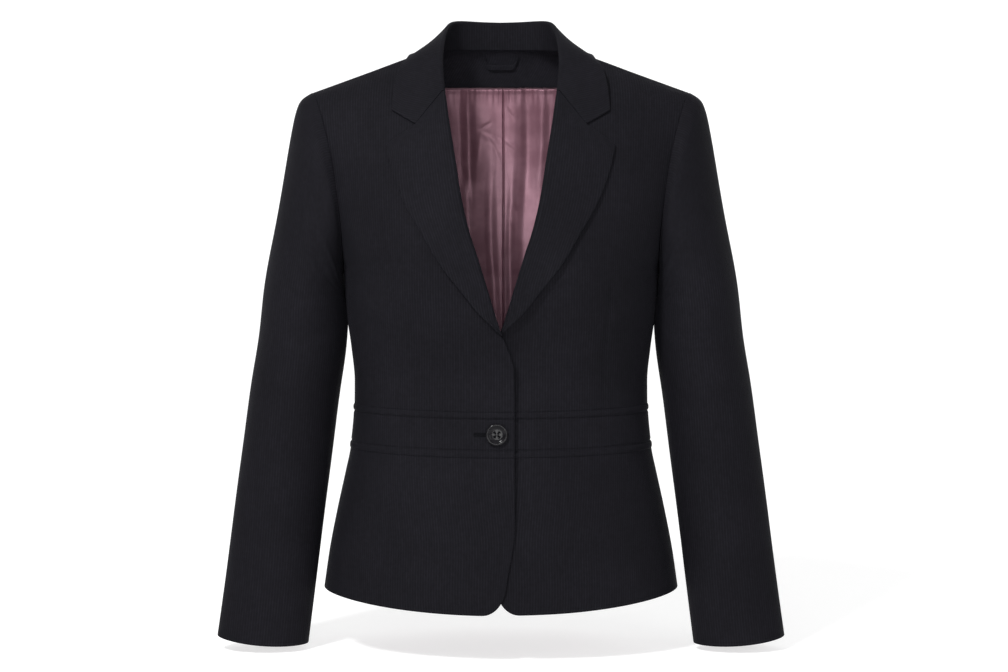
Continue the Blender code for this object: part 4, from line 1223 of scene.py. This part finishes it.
def collar():
    """Half the collar's rows are a spline through the table's profiles and, at the gorge, a
    row folded like the lapel's. The other half is the same with x negated."""
    spots = [np.stack([COLLAR[key + axis] for axis in "xyz"], -1) for key in "nfe"]
    keys = collar_rows(*spots, COLLAR["swell"])
    bend = NOTCH - (GORGE_TOP + COLLAR_TIP) / 2
    ends = (GORGE_TOP + GORGE_LAP)[None], COLLAR_TIP[None], bend[None]
    last = folded_front(*ends, np.array([COLLAR_LIFT]), 0, np.array([COLLAR_TUCK]))[0]
    last = np.concatenate([last[0] + (last[1] - last[0]) * STAND_RISE, last[1:]])
    knots = np.append(COLLAR["along"], COLLAR_LENGTH)
    coarse = np.linspace(0, COLLAR_LENGTH, COARSE_ROWS)
    rows = smooth(knots, np.concatenate([keys, last[None]]), coarse)
    rows[0, :, 0] = 0
    fall = len(rows[0]) - len(LEAF_SHARES)
    rows[:-1, fall:] = clear_of_body(rows[:-1, fall:], COLLAR_ROOM)
    half = smooth(coarse, rows, np.linspace(0, COLLAR_LENGTH, FINE_ROWS))
    whole = np.concatenate([half[:0:-1] * MIRROR, half])
    along = np.swapaxes(mapped(np.swapaxes(whole, 0, 1)), 0, 1)
    along[..., 0] -= along[len(half) - 1, :, 0]
    piece = thickened(whole, LEAF, along)
    for side in ("first_row", "last_row"):
        piece = rolled(piece, side, EDGE_WIDE, free=past_notch(piece.shape[1]))
    return seamed(piece, (), ("last_column", "first_column"))


neck = wall("turned_collar", collar(), inside=SUITING)
declare(neck, "collar", 321)

# %% [markdown]
# ## Sleeves
#
# A tailored sleeve has two pieces, a top sleeve and a narrow under sleeve. It starts on the
# armhole, swells over the shoulder end, and bends gently forward at the elbow. Rings from a
# table are joined by a spline down each column.

# %% The sleeve as one tube
ARMHOLE_LEVELS = np.array([342, 353, 366, 383, 404, 430, 457, 483, 500, 512, 522, 531, 546, 560.0])
FRONT_SEAM, BACK_SEAM = 156.0, 300.0
HEAD = 15.5  # how far the sleeve's head stands out past the shoulder
CUFF_DIP = 2.6  # the cuff hangs this much lower in front
ROPE = 0.035  # the share of the way to the widest ring in which it rises
HEAD_LENGTH = 240.0  # down the sleeve from the shoulder to that ring
HEAD_SHARES = (0.025, 0.07, 0.16, 0.36, 0.65)  # rings on that way
HEAD_LOW, HEAD_POWER = 0.25, 1.5  # the share that stays low down in front and behind
HEAD_DEPTH = 0.8  # its push forwards and backwards against that to the side
UNDERARM_FADE = 0.06
SETTING_ROOM = (0.3, SLEEVE + 0.4)  # from the armhole, and more at the underarm
CUFF_Z = (-567.0, -640.0)
FINE_LENGTH, FINE_RINGS, RINGS = 26.0, 16, 190  # closer rings near the armhole
SET_IN = 4.0  # over this stretch the sleeve's normals turn from the body's to its own
CREASED = (4.0, 30.0)  # the creases grow between these places down the sleeve
MM_PER_DEGREE = 0.85  # round the sleeve
FINER = 4  # points for each step between the armhole's levels
# Here x is degrees round the sleeve, and z is millimetres down it.
SLEEVE_CREASES = table(
    "x1 z1 x2 z2 wide deep",
    [
        (60, 255, 130, 232, 9, 0.9), (75, 282, 150, 262, 8, -0.8),
        (50, 318, 120, 342, 9, 0.8), (85, 350, 160, 372, 8, -0.7),
        (20, 385, 70, 398, 10, 0.5), (250, 300, 320, 328, 11, 0.9),
        (230, 335, 300, 352, 9, -0.8), (70, 455, 140, 470, 9, 0.5),
        (100, 88, 150, 120, 9, 1.0), (80, 128, 140, 168, 10, -0.8),
        (215, 96, 265, 130, 10, 0.9),
    ],
)


def armhole(front):
    """The armhole from the shoulder to the underarm, and the body's normals there."""
    steps = len(ARMHOLE_LEVELS) - 1
    at = np.linspace(0, steps, steps * FINER + 1)
    levels = np.interp(at, np.arange(steps + 1), ARMHOLE_LEVELS)[::-1]
    across = np.ones_like(levels)
    return body(front, across, levels), outward(front, across, levels)


def ring(turns, index):
    """An ellipse of the table, tilted: x a cosine, y a sine, and z rises with x."""
    row = {key: column[index] for key, column in SLEEVE_RINGS.items()}
    angle = np.radians(turns)
    x = row["half_width"] * np.cos(angle)
    y = -row["half_depth"] * np.sin(angle)
    return np.stack([row["x"] + x, row["y"] + y, row["z"] + row["tilt"] * x], -1)


def sleeve_start():
    """The first ring, on the armhole, its normals and each point's turn in degrees."""
    front, front_out = armhole(True)
    back, back_out = armhole(False)
    points = np.concatenate([front, back[::-1][1:]])
    normals = np.concatenate([front_out, back_out[::-1][1:]])
    normals[[0, -1]] = unit(normals[0] + normals[-1])
    heights = points[:, 2]
    low = (heights.max() - heights) / np.ptp(heights)
    points = points + (SETTING_ROOM[0] + SETTING_ROOM[1] * low)[:, None] * normals
    turns = []
    for half in (front, back[::-1]):
        run = distance_run(half)
        turns.append(180 * run / run[-1])
    return points, normals, np.concatenate([turns[0], 180 + turns[1][1:]])


def sleeve():
    """A spline through the armhole, the rings of the head and the table's rings. The head goes
    straight to the table's first ring, and swells by 1 less a power of e, fading again."""
    start, normals, turns = sleeve_start()
    bicep = ring(turns, 0)
    angle = np.radians(turns)
    high = (1 + np.cos(angle)) / 2
    fade = np.where(high < UNDERARM_FADE, high / UNDERARM_FADE, 1)
    swell = HEAD * (HEAD_LOW + (1 - HEAD_LOW) * high**HEAD_POWER) * fade
    push = np.stack([high, -HEAD_DEPTH * np.sin(angle), 0 * angle], -1)
    keys, at = [start], [0.0]
    for share in HEAD_SHARES:
        out = (1 - share) * (1 - math.exp(-share / ROPE))
        keys.append(start + (bicep - start) * share + out * swell[:, None] * push)
        at.append(HEAD_LENGTH * share)
    for index, z in enumerate(SLEEVE_RINGS["z"]):
        dip = CUFF_DIP * ease(z, *CUFF_Z) * np.clip(np.sin(angle), 0, 1) ** 2
        keys.append(ring(turns, index) - dip[:, None] * [0, 0, 1])
        at.append(HEAD_LENGTH + SLEEVE_RINGS["z"][0] - z)
    fine = np.linspace(0, FINE_LENGTH, FINE_RINGS)[:-1]
    stations = np.concatenate([fine, np.linspace(FINE_LENGTH, at[-1], RINGS)])
    grid = smooth(np.array(at), np.array(keys), stations)
    over, down = np.gradient(grid, axis=1), np.gradient(grid, axis=0)
    over[:, 0] = over[:, -1] = grid[:, 1] - grid[:, -2]
    out = unit(np.cross(over, down))
    centre = grid.mean(axis=1, keepdims=True)
    out = np.where(((grid - centre) * out).sum(-1, keepdims=True) < 0, -out, out)
    blend = ease(stations, 0, SET_IN)[:, None, None]
    return grid, unit(normals[None] * (1 - blend) + out * blend), turns, stations


def sleeve_relief(turns, stations):
    """The creases, with degrees round the sleeve turned into millimetres."""
    around, down = np.meshgrid(turns * MM_PER_DEGREE, stations)
    scaled = {key: SLEEVE_CREASES[key] * MM_PER_DEGREE for key in ("x1", "x2")}
    return creases({**SLEEVE_CREASES, **scaled}, around, down) * ease(down, *CREASED)


# %% Top and under sleeves
SLEEVE_SEAM = (1.6, 0.9)  # how wide and how deep the armhole's seam dips


def sleeve_pieces():
    """Both pieces are columns of the same tube: the top sleeve runs from the back seam over
    the outside to the front seam, and the under sleeve has what is left."""
    grid, out, turns, stations = sleeve()
    grid = grid + sleeve_relief(turns, stations)[..., None] * out
    u = distance_run(grid, 1)
    front, back = (int(np.argmin(np.abs(turns - seam))) for seam in (FRONT_SEAM, BACK_SEAM))
    last = len(turns) - 1
    top = np.concatenate([np.arange(back, last), np.arange(0, front + 1)])
    u_top = np.concatenate([u[:, back:last] - u[:, -1:], u[:, : front + 1]], axis=1)
    under = np.arange(front, back + 1)
    pieces = {}
    for name, columns, across in (("top", top, u_top), ("under", under, u[:, under])):
        uv = np.stack([across, np.broadcast_to(stations[:, None], across.shape)], -1)
        piece = thick_piece(grid[:, columns], out[:, columns], SLEEVE, uv)
        piece = rolled(piece, "first_row", SLEEVE_SEAM[0], both=False, depth=SLEEVE_SEAM[1])
        pieces[name] = seamed(piece, ("first_column", "last_column"), ("last_row",))
    return pieces


for name, flat, area in (("top", (205, 590), 983), ("under", (130, 500), 569)):
    piece = sleeve_pieces()[name]
    for side, _ in SIDES:
        made = wall(f"{name}_sleeve_{side}", piece, side, faced=near_armhole)
        declare(made, f"sleeve_{name}_{side}", area)

# %% [markdown]
# ## Inside the back
#
# Through the neck the inside of the back shows: a facing of suiting below the collar, then the
# satin lining, which hangs in soft folds. The lining is cut with ease, so it is wider than the
# back, and the spare width makes the folds.

# %% Facing and lining
FACING_LOW, FACING_ROOM = 508.0, 0.6  # its lower edge, and how far it ends below the neckline
FACING_REACH, FACING_TOP_REACH = 0.5, 0.35  # how far it reaches across a row, below and above
FACING_START = -60.0  # where its stripes are counted from
ROW_RISE, ROW_REACH = 0.00053, 75.0  # levels for each square millimetre of x, out to this x
LINING_TOP, LINING_MIDDLE, LINING_LOW = 507.5, 330.0, 20.0
LINING_REACH, LINING_POWER = 0.985, 1.6  # it ends short of the side; columns crowd inwards
ROW_WIDE, BOW_LEVEL = 170.0, 440.0  # about half the back's width; rows are level above this
# How far the lining stands in from the back, for each x: ridges and troughs.
LINING_FOLDS = table(
    "x deep low",
    [
        (-120, 2.0, 1.6), (-98, 4.4, 2.6), (-82, 2.4, 1.8), (-68, 1.6, 1.4), (-56, 4.6, 2.2),
        (-49, 5.4, 2.8), (-38.6, 0.6, 0.9), (-29, 4.4, 2.4), (-21, 5.6, 4.2),
        (-13, 6.0, 6.6), (-5, 5.6, 5.0), (2.6, 5.8, 5.2), (9, 6.1, 5.2), (15, 5.8, 6.6),
        (22, 4.2, 4.2), (31, 0.6, 1.3), (40, 3.0, 1.4), (47, 5.4, 1.8), (57, 1.6, 1.5),
        (68, 4.2, 2.2), (84, 1.8, 1.6), (101, 3.8, 2.2), (120, 2.0, 1.6),
    ],
)
LINING_CREASES = table(
    "x1 z1 x2 z2 wide deep",
    [
        (-26, -79, 4, -93, 1.6, -0.3), (-26, -83, 3, -98, 3.4, 0.35),
        (2, -91, 22, -105, 1.6, 0.55), (4, -97, 21, -110, 3.0, -0.3),
        (-16, -84, 0, -118, 1.8, -0.3), (-11, -84, 4, -116, 3.0, 0.3),
        (-27, -81, -10, -71, 1.6, -0.6), (-24, -84, -28, -124, 3.0, 0.6),
        (4, -54, 16, -70, 2.0, -0.3), (8, -52, 20, -66, 3.0, 0.3),
        (12, -158, 20, -182, 2.8, 0.5), (8, -176, 17, -199, 3.0, -0.35),
        (-44, -120, -34, -168, 4.5, 1.0), (46, -96, 36, -150, 5.0, 0.6),
        (-30, -205, -6, -232, 4.5, 0.3), (24, -150, 8, -190, 4.5, -0.3),
        (26, -206, 6, -244, 4.5, 0.3),
    ],
)
# The rest shapes the lining. A pair says from which place to which one something changes.
GATHER_PITCH, GATHER_DEPTH, GATHER_Z = 7.0, 0.3, (12.0, 2.0)  # tiny pleats below its top
WANDER, WANDER_PITCH = 1.6, 7.0  # which are not quite regular
LINING_LIP, LIP_Z = 0.9, (2.4, 1.2)  # its upper edge stands in a little
SEAM_SINK, SEAM_SHIFT, SEAM_WIDE = 1.7, 2.6, 0.8  # the middle seam's depth, x and width
SWAY, SWAY_LENGTH, SWAY_Z = 1.6, 41.0, (-60.0, -140.0)  # the folds bend sideways by this much
SPREAD, SPREAD_Z = 0.02, -40.0  # and draw apart below that height
LOWER_Z = (-100.0, -190.0)  # here the folds' depth goes from the upper to the lower one
SWING, SWING_Z, SWING_X = 0.1, 23.0, 17.0  # a slow change of depth
LEAST_TOP, HANG_LENGTH = 0.6, 26.0  # the share of depth at the top, and where all of it is there
LEAST_LOW, LOW_LEVELS = 0.35, (215.0, 330.0)  # and at the waist
CALM_SHARE, CALM_X = 0.7, (70.0, 120.0)  # and how much less of it towards the sides


def levelled(x):
    """How many levels a row must rise with x to stay level to the eye, for its height bows
    by the square of x."""
    return ROW_RISE * np.clip(np.abs(x), 0, ROW_REACH) ** 2


def facing():
    """Rows from a level line up to just below the neckline's arc."""
    rows, columns = 16, 90
    climb = np.linspace(0, 1, rows)[:, None]
    share = np.linspace(-1, 1, columns)
    across = share * (FACING_REACH + (FACING_TOP_REACH - FACING_REACH) * climb)
    arc = np.sqrt(1 - (share * FACING_TOP_REACH / NECK_REACH) ** 2)
    top = SHOULDER - (SHOULDER - NAPE) * arc - FACING_ROOM
    low = FACING_LOW + levelled(body(False, across[0], FACING_LOW)[..., 0])
    level = low + (top - low) * climb
    normal = outward(False, across, level)
    outer = body(False, across, level) - (SHELL + PLY_GAP) * normal
    middle = level[:, columns // 2, None]
    piece = thick_piece(outer, normal, FACING, mapped(outer, FACING_START, middle))
    return seamed(piece, (), ("first_row",))


def lining(sign):
    """Rows across the back from the middle seam to the side. The depth under the shell is the
    fold profile, faded towards top, waist and sides, plus creases, pleats, lip and seam."""
    low_rows, rows, columns = 50, 170, 150
    low_levels = np.linspace(LINING_LOW, LINING_MIDDLE, low_rows)[:-1]
    levels = np.concatenate([low_levels, np.linspace(LINING_MIDDLE, LINING_TOP, rows)])
    start = np.full_like(levels, sign * SEAM_SHIFT / ROW_WIDE)
    ends = np.full_like(levels, LINING_REACH)
    across, level = grid_of(start, ends, levels, columns, LINING_POWER)
    below = LINING_TOP - level
    bow = ease(level, BOW_LEVEL, LINING_TOP)
    level = level + levelled(body(False, across, level)[..., 0]) * bow
    base = body(False, across, level)
    normal = outward(False, across, level)
    x, z = base[..., 0] * sign, base[..., 2]
    sway = SWAY * np.sin(z / SWAY_LENGTH) * ease(z, *SWAY_Z)
    sway = sway - SPREAD * (z - SPREAD_Z) * np.sign(x)
    first, last = LINING_FOLDS["x"][[0, -1]]
    folds_x = np.clip(x + sway, first + 1, last - 1)
    upper, lower = (read(LINING_FOLDS, key, folds_x, "x") for key in ("deep", "low"))
    profile = upper + (lower - upper) * ease(z, *LOWER_Z)
    profile = profile * (1 + SWING * np.sin(z / SWING_Z + x / SWING_X))
    hang = LEAST_TOP + (1 - LEAST_TOP) * ease(below, 0, HANG_LENGTH)
    down = LEAST_LOW + (1 - LEAST_LOW) * ease(level, *LOW_LEVELS)
    calm = 1 - CALM_SHARE * ease(np.abs(x), *CALM_X)
    depth = SHELL + PLY_GAP + BAND_LIFT + profile * hang * down * calm
    depth = depth + creases(LINING_CREASES, x, z)
    pleats = np.sin(x * 2 * math.pi / GATHER_PITCH + WANDER * np.sin(x / WANDER_PITCH))
    depth = depth + GATHER_DEPTH * ease(below, *GATHER_Z) * pleats
    depth = depth + LINING_LIP * ease(below, *LIP_Z)
    depth = depth - SEAM_SINK * bell(x, SEAM_SHIFT, SEAM_WIDE)
    outer = base - depth[..., None] * normal
    piece = thick_piece(outer, normal, LINING, mapped(outer, 0.0, level))
    return seamed(piece, (), ("first_row", "last_row", "first_column"))


# painted light: the facing takes the suiting painted lighter, since hardly any light reaches it
inner_neck = wall("neck_facing", facing(), outside=SUITING_PAINTED_LIGHTER, inside=SUITING_PAINTED_LIGHTER)
declare(inner_neck, "back_neck_facing", 94)
for side, sign in (("left", 1), ("right", -1)):
    hung = wall(f"hung_lining_{side}", lining(sign), side, SATIN, SATIN)
    declare(hung, f"lining_back_{side}", 1063)


# %% Hanger loop
LOOP_HALF, LOOP_WIDE, LOOP_THICK = 19.5, 5.2, 1.2
LOOP_LEVEL, LOOP_DROP = 528.0, 9.4  # the level of its ends, and how many it hangs down
LOOP_SPREAD, LOOP_POWER = 0.8, 7  # its columns crowd to the ends, where it turns down
LEVEL_PER_MM = 0.55  # how much the level changes for each millimetre down the strip
LOOP_EDGE = 0.5


def loop():
    """A narrow strip on the facing. Its drop is 1 less a power of its share of the width."""
    columns, rows = 61, 7
    share = np.linspace(-1, 1, columns)
    x = LOOP_HALF * np.sign(share) * np.abs(share) ** LOOP_SPREAD
    drop = LOOP_DROP * (1 - np.abs(share) ** LOOP_POWER)
    offset = np.linspace(-LOOP_WIDE / 2, LOOP_WIDE / 2, rows)[:, None]
    levels = LOOP_LEVEL - drop + offset * LEVEL_PER_MM
    turn = np.radians(read(BACK_MIDDLE, "turn", levels))
    across = np.arcsin(x * np.sin(turn) / edge_of(False, levels)[0]) / turn
    normal = outward(False, across, levels)
    outer = body(False, across, levels) - (SHELL + FACING + 2 * PLY_GAP) * normal
    piece = thick_piece(outer, normal, LOOP_THICK, mapped(outer))
    return rolled(rolled(piece, "first_row", LOOP_EDGE), "last_row", LOOP_EDGE)


# painted light: the loop takes the same suiting painted lighter, as the facing does
hanger = wall("loop_strip", loop(), outside=SUITING_PAINTED_LIGHTER, inside=SUITING_PAINTED_LIGHTER)
declare(hanger, "hanger_loop", 3.2)

# %% [markdown]
# ## Button, buttonhole and stitches
#
# The button is a turned disc with a raised rim, a dished middle and four holes, sewn on with
# thread. The rows of stitches along the waistband are hundreds of small capsules, so one
# capsule is made and copied by arrays into a single mesh.

# %% Button
# Radius and height, from the middle of the underside round the rim to the middle of the top.
BUTTON_PROFILE = [
    (0.0, 0.0), (8.9, 0.0), (10.2, 0.35), (11.1, 1.0), (11.5, 1.9), (11.45, 2.6),
    (11.1, 3.1), (10.5, 3.38), (9.8, 3.4), (9.1, 3.2), (8.5, 2.75), (7.8, 2.3), (6.6, 1.98),
    (5.0, 1.82), (2.5, 1.78), (0.0, 1.78),
]
BUTTON_ROOM = 0.3  # from the waistband to the button's underside
BUTTON_STEPS, DRILL_STEPS = 96, 20  # points round the button and round a hole
HOLE_AT, HOLE_RADIUS = 1.9, 1.05
DRILL = ((0, -4), (HOLE_RADIUS, -4), (HOLE_RADIUS, 8), (0, 8))  # it passes right through
SHARP_PLAIN = 40.0  # degrees between faces from which an edge looks sharp


def button_frame():
    """Where the button sits, and its three axes as the columns of a matrix."""
    at, out = on_front(*BUTTON_AT, BAND_LIFT + BUTTON_ROOM, 1)
    out = unit(out * np.array([0.0, 1.0, 1.0]))
    side = np.array([1.0, 0.0, 0.0])
    return at, np.stack([side, np.cross(out, side), out], -1)


def circles(radius, steps):
    """Cosines and sines times each radius: the two values across the axis."""
    angle = np.linspace(0, TURN, steps, endpoint=False)
    return radius[:, None] * np.cos(angle), radius[:, None] * np.sin(angle)


def capped(rings, low, top):
    """Points of closed rings and of a pole at each end, quads between the rings, and
    triangles from the poles to the first and the last ring."""
    points = np.concatenate([rings.reshape(-1, 3), [low, top]])
    at = np.arange(len(points) - 2).reshape(rings.shape[:2])
    ahead = np.roll(at, -1, axis=1)
    quads = np.stack([at[:-1], ahead[:-1], ahead[1:], at[1:]], -1).reshape(-1, 4)
    first, last = np.full_like(at[0], at.size), np.full_like(at[0], at.size + 1)
    ends = np.stack([first, ahead[0], at[0]], -1), np.stack([last, at[-1], ahead[-1]], -1)
    return points, quads, np.concatenate(ends)


def turned(profile, steps):
    """A profile carried round the axis: radius times cosine and sine, one pole at each end."""
    radius, high = np.array(profile, float).T
    x, y = circles(radius[1:-1], steps)
    rings = np.stack([x, y, np.broadcast_to(high[1:-1, None], x.shape)], -1)
    points, quads, triangles = capped(rings, [0, 0, high[0]], [0, 0, high[-1]])
    return points, quads.tolist() + triangles.tolist()


def plain_mesh(name, points, faces, finish):
    """A smooth mesh object in metres from points in millimetres, with one material."""
    mesh = bpy.data.meshes.new(name)
    mesh.from_pydata((points * MM).tolist(), [], faces)
    mesh.materials.append(finish)
    return smooth_object(name, mesh, SHARP_PLAIN)


at, axes = button_frame()
points, faces = turned(BUTTON_PROFILE, BUTTON_STEPS)
disc = plain_mesh("sewn_button", at + points @ axes.T, faces, HORN)
cutters = []
for right in (-1, 1):
    for up in (-1, 1):
        points, faces = turned(DRILL, DRILL_STEPS)
        points = points + np.array([right * HOLE_AT, up * HOLE_AT, 0])
        cutter = plain_mesh("drill", at + points @ axes.T, faces, HORN)
        cut = disc.modifiers.new("hole", "BOOLEAN")
        cut.operation = "DIFFERENCE"
        cut.object = cutter
        cutters.append(cutter)
seen = disc.evaluated_get(bpy.context.evaluated_depsgraph_get())
disc.data = bpy.data.meshes.new_from_object(seen)
disc.modifiers.clear()
for cutter in cutters:
    bpy.data.objects.remove(cutter)
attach(disc, "root")
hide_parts("button")
print("button:", len(disc.data.polygons), "faces")


# %% Stitches as copies of one capsule
def capsule(sides=6, rings=5):
    """A long bead: circles whose radius is the root of 1 - the square of their place."""
    along = np.linspace(-1, 1, rings + 2)[1:-1]
    y, z = circles(np.sqrt(1 - along**2), sides)
    rings_at = np.stack([np.broadcast_to(along[:, None], y.shape), y, z], -1)
    return capped(rings_at, [-1, 0, 0], [1, 0, 0])


def beads(name, centres, along, out, size):
    """One capsule at each centre, its long axis on `along` and its top on `out`; size is half
    its length, half its width and half its height."""
    points, quads, triangles = capsule()
    aside = unit(np.cross(out, along))
    out = unit(np.cross(along, aside))
    frame_of = np.stack([along * size[0], aside * size[1], out * size[2]], 1)
    placed = centres[:, None] + np.einsum("pk,nkc->npc", points, frame_of)
    shift = (np.arange(len(centres)) * len(points))[:, None, None]
    faces = (quads[None] + shift).reshape(-1, 4).tolist()
    faces += (triangles[None] + shift).reshape(-1, 3).tolist()
    made = plain_mesh(name, placed.reshape(-1, 3), faces, THREAD)
    cloth_layer(made.data, np.tile(points[:, :2] * size[:2], (len(centres), 1)))
    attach(made, "root")


# %% Rows of stitches on the waistband
STITCH_PITCH, LOOK_AHEAD = 2.6, 0.4
STITCH = (0.95, 0.2, 0.16)  # half its length, width and height
STITCH_RISE = 0.06  # above the floor of the groove
SIDE_END, LINE_POINTS = 0.995, 240  # where a row ends at the side seam
EDGE_ROOM = 1.5  # from the front edge to the first stitch


def looked_up(spots, run, values):
    """Each of the three columns of values, read at spots along the distance run."""
    return np.stack([np.interp(spots, run, values[:, k]) for k in range(3)], -1)


def spaced(points, normals, pitch):
    """Evenly spaced places along a line of points, with directions along it and out of it."""
    run = distance_run(points)
    at = np.arange(pitch, run[-1] - pitch / 2, pitch)
    places = looked_up(at, run, points)
    ahead = looked_up(at + LOOK_AHEAD, run, points)
    return places, unit(ahead - places + 1e-6), unit(looked_up(at, run, normals))


def band_line(front, level, layer, low):
    """Points and normals along one level of the waistband, in its groove."""
    across = np.linspace(low, SIDE_END, LINE_POINTS)
    levels = np.full(LINE_POINTS, level)
    normal = outward(front, across, levels, layer)
    lift = BAND_FACE - BAND_GROOVE + STITCH_RISE
    return body(front, across, levels, layer) + lift * normal, normal


rows = []
for level in (BAND_LOW + BAND_STITCH, BAND_TOP - BAND_STITCH):
    first = float(across_at(np.array(EDGE_ROOM - FRONT_EXTENSION), np.array(level)))
    for side, layer in SIDES:
        points, normals = band_line(True, level, layer, first)
        if side == "right":
            points, normals = points * MIRROR, normals * MIRROR
        rows.append(spaced(points, normals, STITCH_PITCH))
    rows.append(spaced(*band_line(False, level, 0, -SIDE_END), STITCH_PITCH))
centres, along, out = (np.concatenate(parts) for parts in zip(*rows))
beads("band_stitches", centres, along, out, STITCH)
print("waistband stitches:", len(centres))

# %% Buttonhole
HOLE_FROM, HOLE_TO = -16.0, -28.5  # x on the wearer's right
HOLE_HALF, HOLE_STITCHES = 1.15, 34  # half the distance between its two rows
HOLE_ROOM, HOLE_SLANT = 0.1, (0.0, 0.12, 0.99)
HOLE_STITCH = (0.95, 0.2, 0.35)

x = np.linspace(HOLE_FROM, HOLE_TO, HOLE_STITCHES)
parts = []
for up in (-HOLE_HALF, HOLE_HALF):
    centre, out = on_front(-x, np.full_like(x, BUTTON_AT[1] + up), BAND_LIFT + HOLE_ROOM, 1)
    parts.append((centre * MIRROR, out * MIRROR))
centres, out = (np.concatenate(part) for part in zip(*parts))
beads("buttonhole_stitches", centres, np.tile(HOLE_SLANT, (len(centres), 1)), out, HOLE_STITCH)
print("buttonhole stitches:", len(centres))

# %% Thread through the button
THREAD_RISE, THREAD_BOW, THREAD_BEADS = 2.1, 0.35, 9
THREAD_BEAD = (0.5, 0.45, 0.3)

bars = []
for right in (-1, 1):
    share = np.linspace(-1, 1, THREAD_BEADS)
    high = THREAD_RISE + THREAD_BOW * (1 - share**2)
    local = np.stack([np.full(THREAD_BEADS, right * HOLE_AT), share * HOLE_AT, high], -1)
    bars.append(at + local @ axes.T)
centres = np.concatenate(bars)
along, out = (np.tile(axes[:, k], (len(centres), 1)) for k in (1, 2))
beads("button_thread", centres, along, out, THREAD_BEAD)

# %% [markdown]
# ## Floor, light and camera
#
# The jacket hangs just above a white floor that curves up into a backdrop. The backdrop stands
# far enough back for a camera to go round behind the jacket, and the paper glows a little by
# itself, so that it stays white. The key light is small, high and to the left, and draws the
# folds. A broad light beside the camera and a weak one on the right open the shadows, and the
# world's even glow leaves only a faint shadow under the hem and the cuffs.

# %% Studio
FLOOR_Z = -651.0
FLOOR_FRONT, FLOOR_BACK = -3600.0, 3000.0
CURVE = 600.0  # the radius with which the floor turns up
FLAT_ROWS, CURVE_ROWS = 13, 12
FIRST_TURN = 0.1
HALF_WIDE, WALL_HEIGHTS = 5000.0, [2500.0, 6000.0]
PAPER, PAPER_GLOW = (0.5, 0.5, 0.5), 0.66

curve = np.linspace(FIRST_TURN, TURN / 4, CURVE_ROWS)
flat = np.linspace(FLOOR_FRONT, FLOOR_BACK, FLAT_ROWS)
run = np.concatenate([flat, FLOOR_BACK + CURVE * np.sin(curve), [FLOOR_BACK + CURVE] * 2])
rise = np.concatenate([np.zeros(FLAT_ROWS), CURVE * (1 - np.cos(curve)), WALL_HEIGHTS])
wide = np.broadcast_to([-HALF_WIDE, HALF_WIDE], (len(run), 2))
depth, high = (np.broadcast_to(part[:, None], wide.shape) for part in (run, FLOOR_Z + rise))
sweep = np.stack([wide, depth, high], -1)
index = np.arange(len(run) * 2).reshape(-1, 2)
quads = np.stack([index[:-1, 0], index[:-1, 1], index[1:, 1], index[1:, 0]], -1)
paper, tree, shader = material("backdrop_paper", PAPER, 0.9)
shader.inputs["Emission Color"].default_value = (1, 1, 1, 1)
shader.inputs["Emission Strength"].default_value = PAPER_GLOW
shader.inputs["Specular IOR Level"].default_value = 0.1
backdrop = plain_mesh("backdrop", sweep.reshape(-1, 3), quads.tolist(), paper)

# %% The world's glow
GLOW, MORE_GLOW = 0.16, 0.3  # everywhere, and from above and the sides

world = bpy.data.worlds.new("studio")
bpy.context.scene.world = world
world.use_nodes = True
sky = world.node_tree
direction = sky.nodes.new("ShaderNodeTexCoord").outputs["Generated"]
split = sky.nodes.new("ShaderNodeSeparateXYZ")
sky.links.new(direction, split.inputs[0])
overhead = ramp(sky, split.outputs["Z"], -0.1, 0.8, 0.0, 1.0)
aside = ramp(sky, maths(sky, "ABSOLUTE", split.outputs["X"]), 0.35, 0.95, 0.0, 0.5)
extra = maths(sky, "MULTIPLY", maths(sky, "MAXIMUM", overhead, aside), MORE_GLOW)
glow = maths(sky, "ADD", GLOW, extra)
sky.links.new(glow, sky.nodes["Background"].inputs["Strength"])
sky.nodes["Background"].inputs["Color"].default_value = (1, 1, 1, 1)

# %% Lights
AIM = np.array([0.0, 0.0, -0.3])
# Each light's place and size in metres, and its power in watts.
LIGHTS = (
    ("key", (-1.15, -1.95, 1.85), 0.45, 98),
    ("front", (-0.2, -3.0, -0.1), 1.0, 32),
    ("fill", (1.8, -2.0, 0.6), 1.4, 14),
)


def soft_light(name, at, size, power):
    """A square area light, turned so that its -Z axis points from its place to the jacket."""
    data = bpy.data.lights.new(name, "AREA")
    data.size = size
    data.energy = power
    lamp = in_scene(name, data)
    lamp.location = at
    aim = AIM - np.array(at)
    flat = math.hypot(aim[0], aim[1])
    lamp.rotation_euler = (math.atan2(flat, -aim[2]), 0, math.atan2(aim[1], aim[0]) - TURN / 4)


for light in LIGHTS:
    soft_light(*light)
print("lights:", [light[0] for light in LIGHTS])

# %% [markdown]
# ## The camera
#
# A camera that is held almost level keeps upright lines upright. This one stands 2.5 m away,
# a little above the jacket's middle, and looks down by about two degrees.

# %% Camera
CAMERA_AT = (0.0033, -2.5, -0.218)
FOCAL, SENSOR = 81.9, 36.0
HORIZON_UP, PICTURE_WIDE = 86, 1008  # pixels up to the horizon, and across the picture
LOOK_DOWN = math.degrees(math.atan(HORIZON_UP * SENSOR / PICTURE_WIDE / FOCAL))
camera_data = bpy.data.cameras.new("camera")
camera_data.sensor_width = SENSOR
camera_data.lens = FOCAL
camera = in_scene("camera", camera_data)
camera.location = CAMERA_AT
camera.rotation_euler = (math.radians(90 - LOOK_DOWN), 0, 0)
bpy.context.scene.camera = camera
bpy.context.scene.view_settings.view_transform = "Standard"
print("camera looks down", round(LOOK_DOWN, 2), "degrees")

# %% [markdown]
# ## The count of triangles
#
# The finished piece should fill the same box as the plain model. The triangles of the cloth
# pieces are counted and printed.

# %% Measures and finish
print("triangles in the cloth:", sum(triangle_counts))
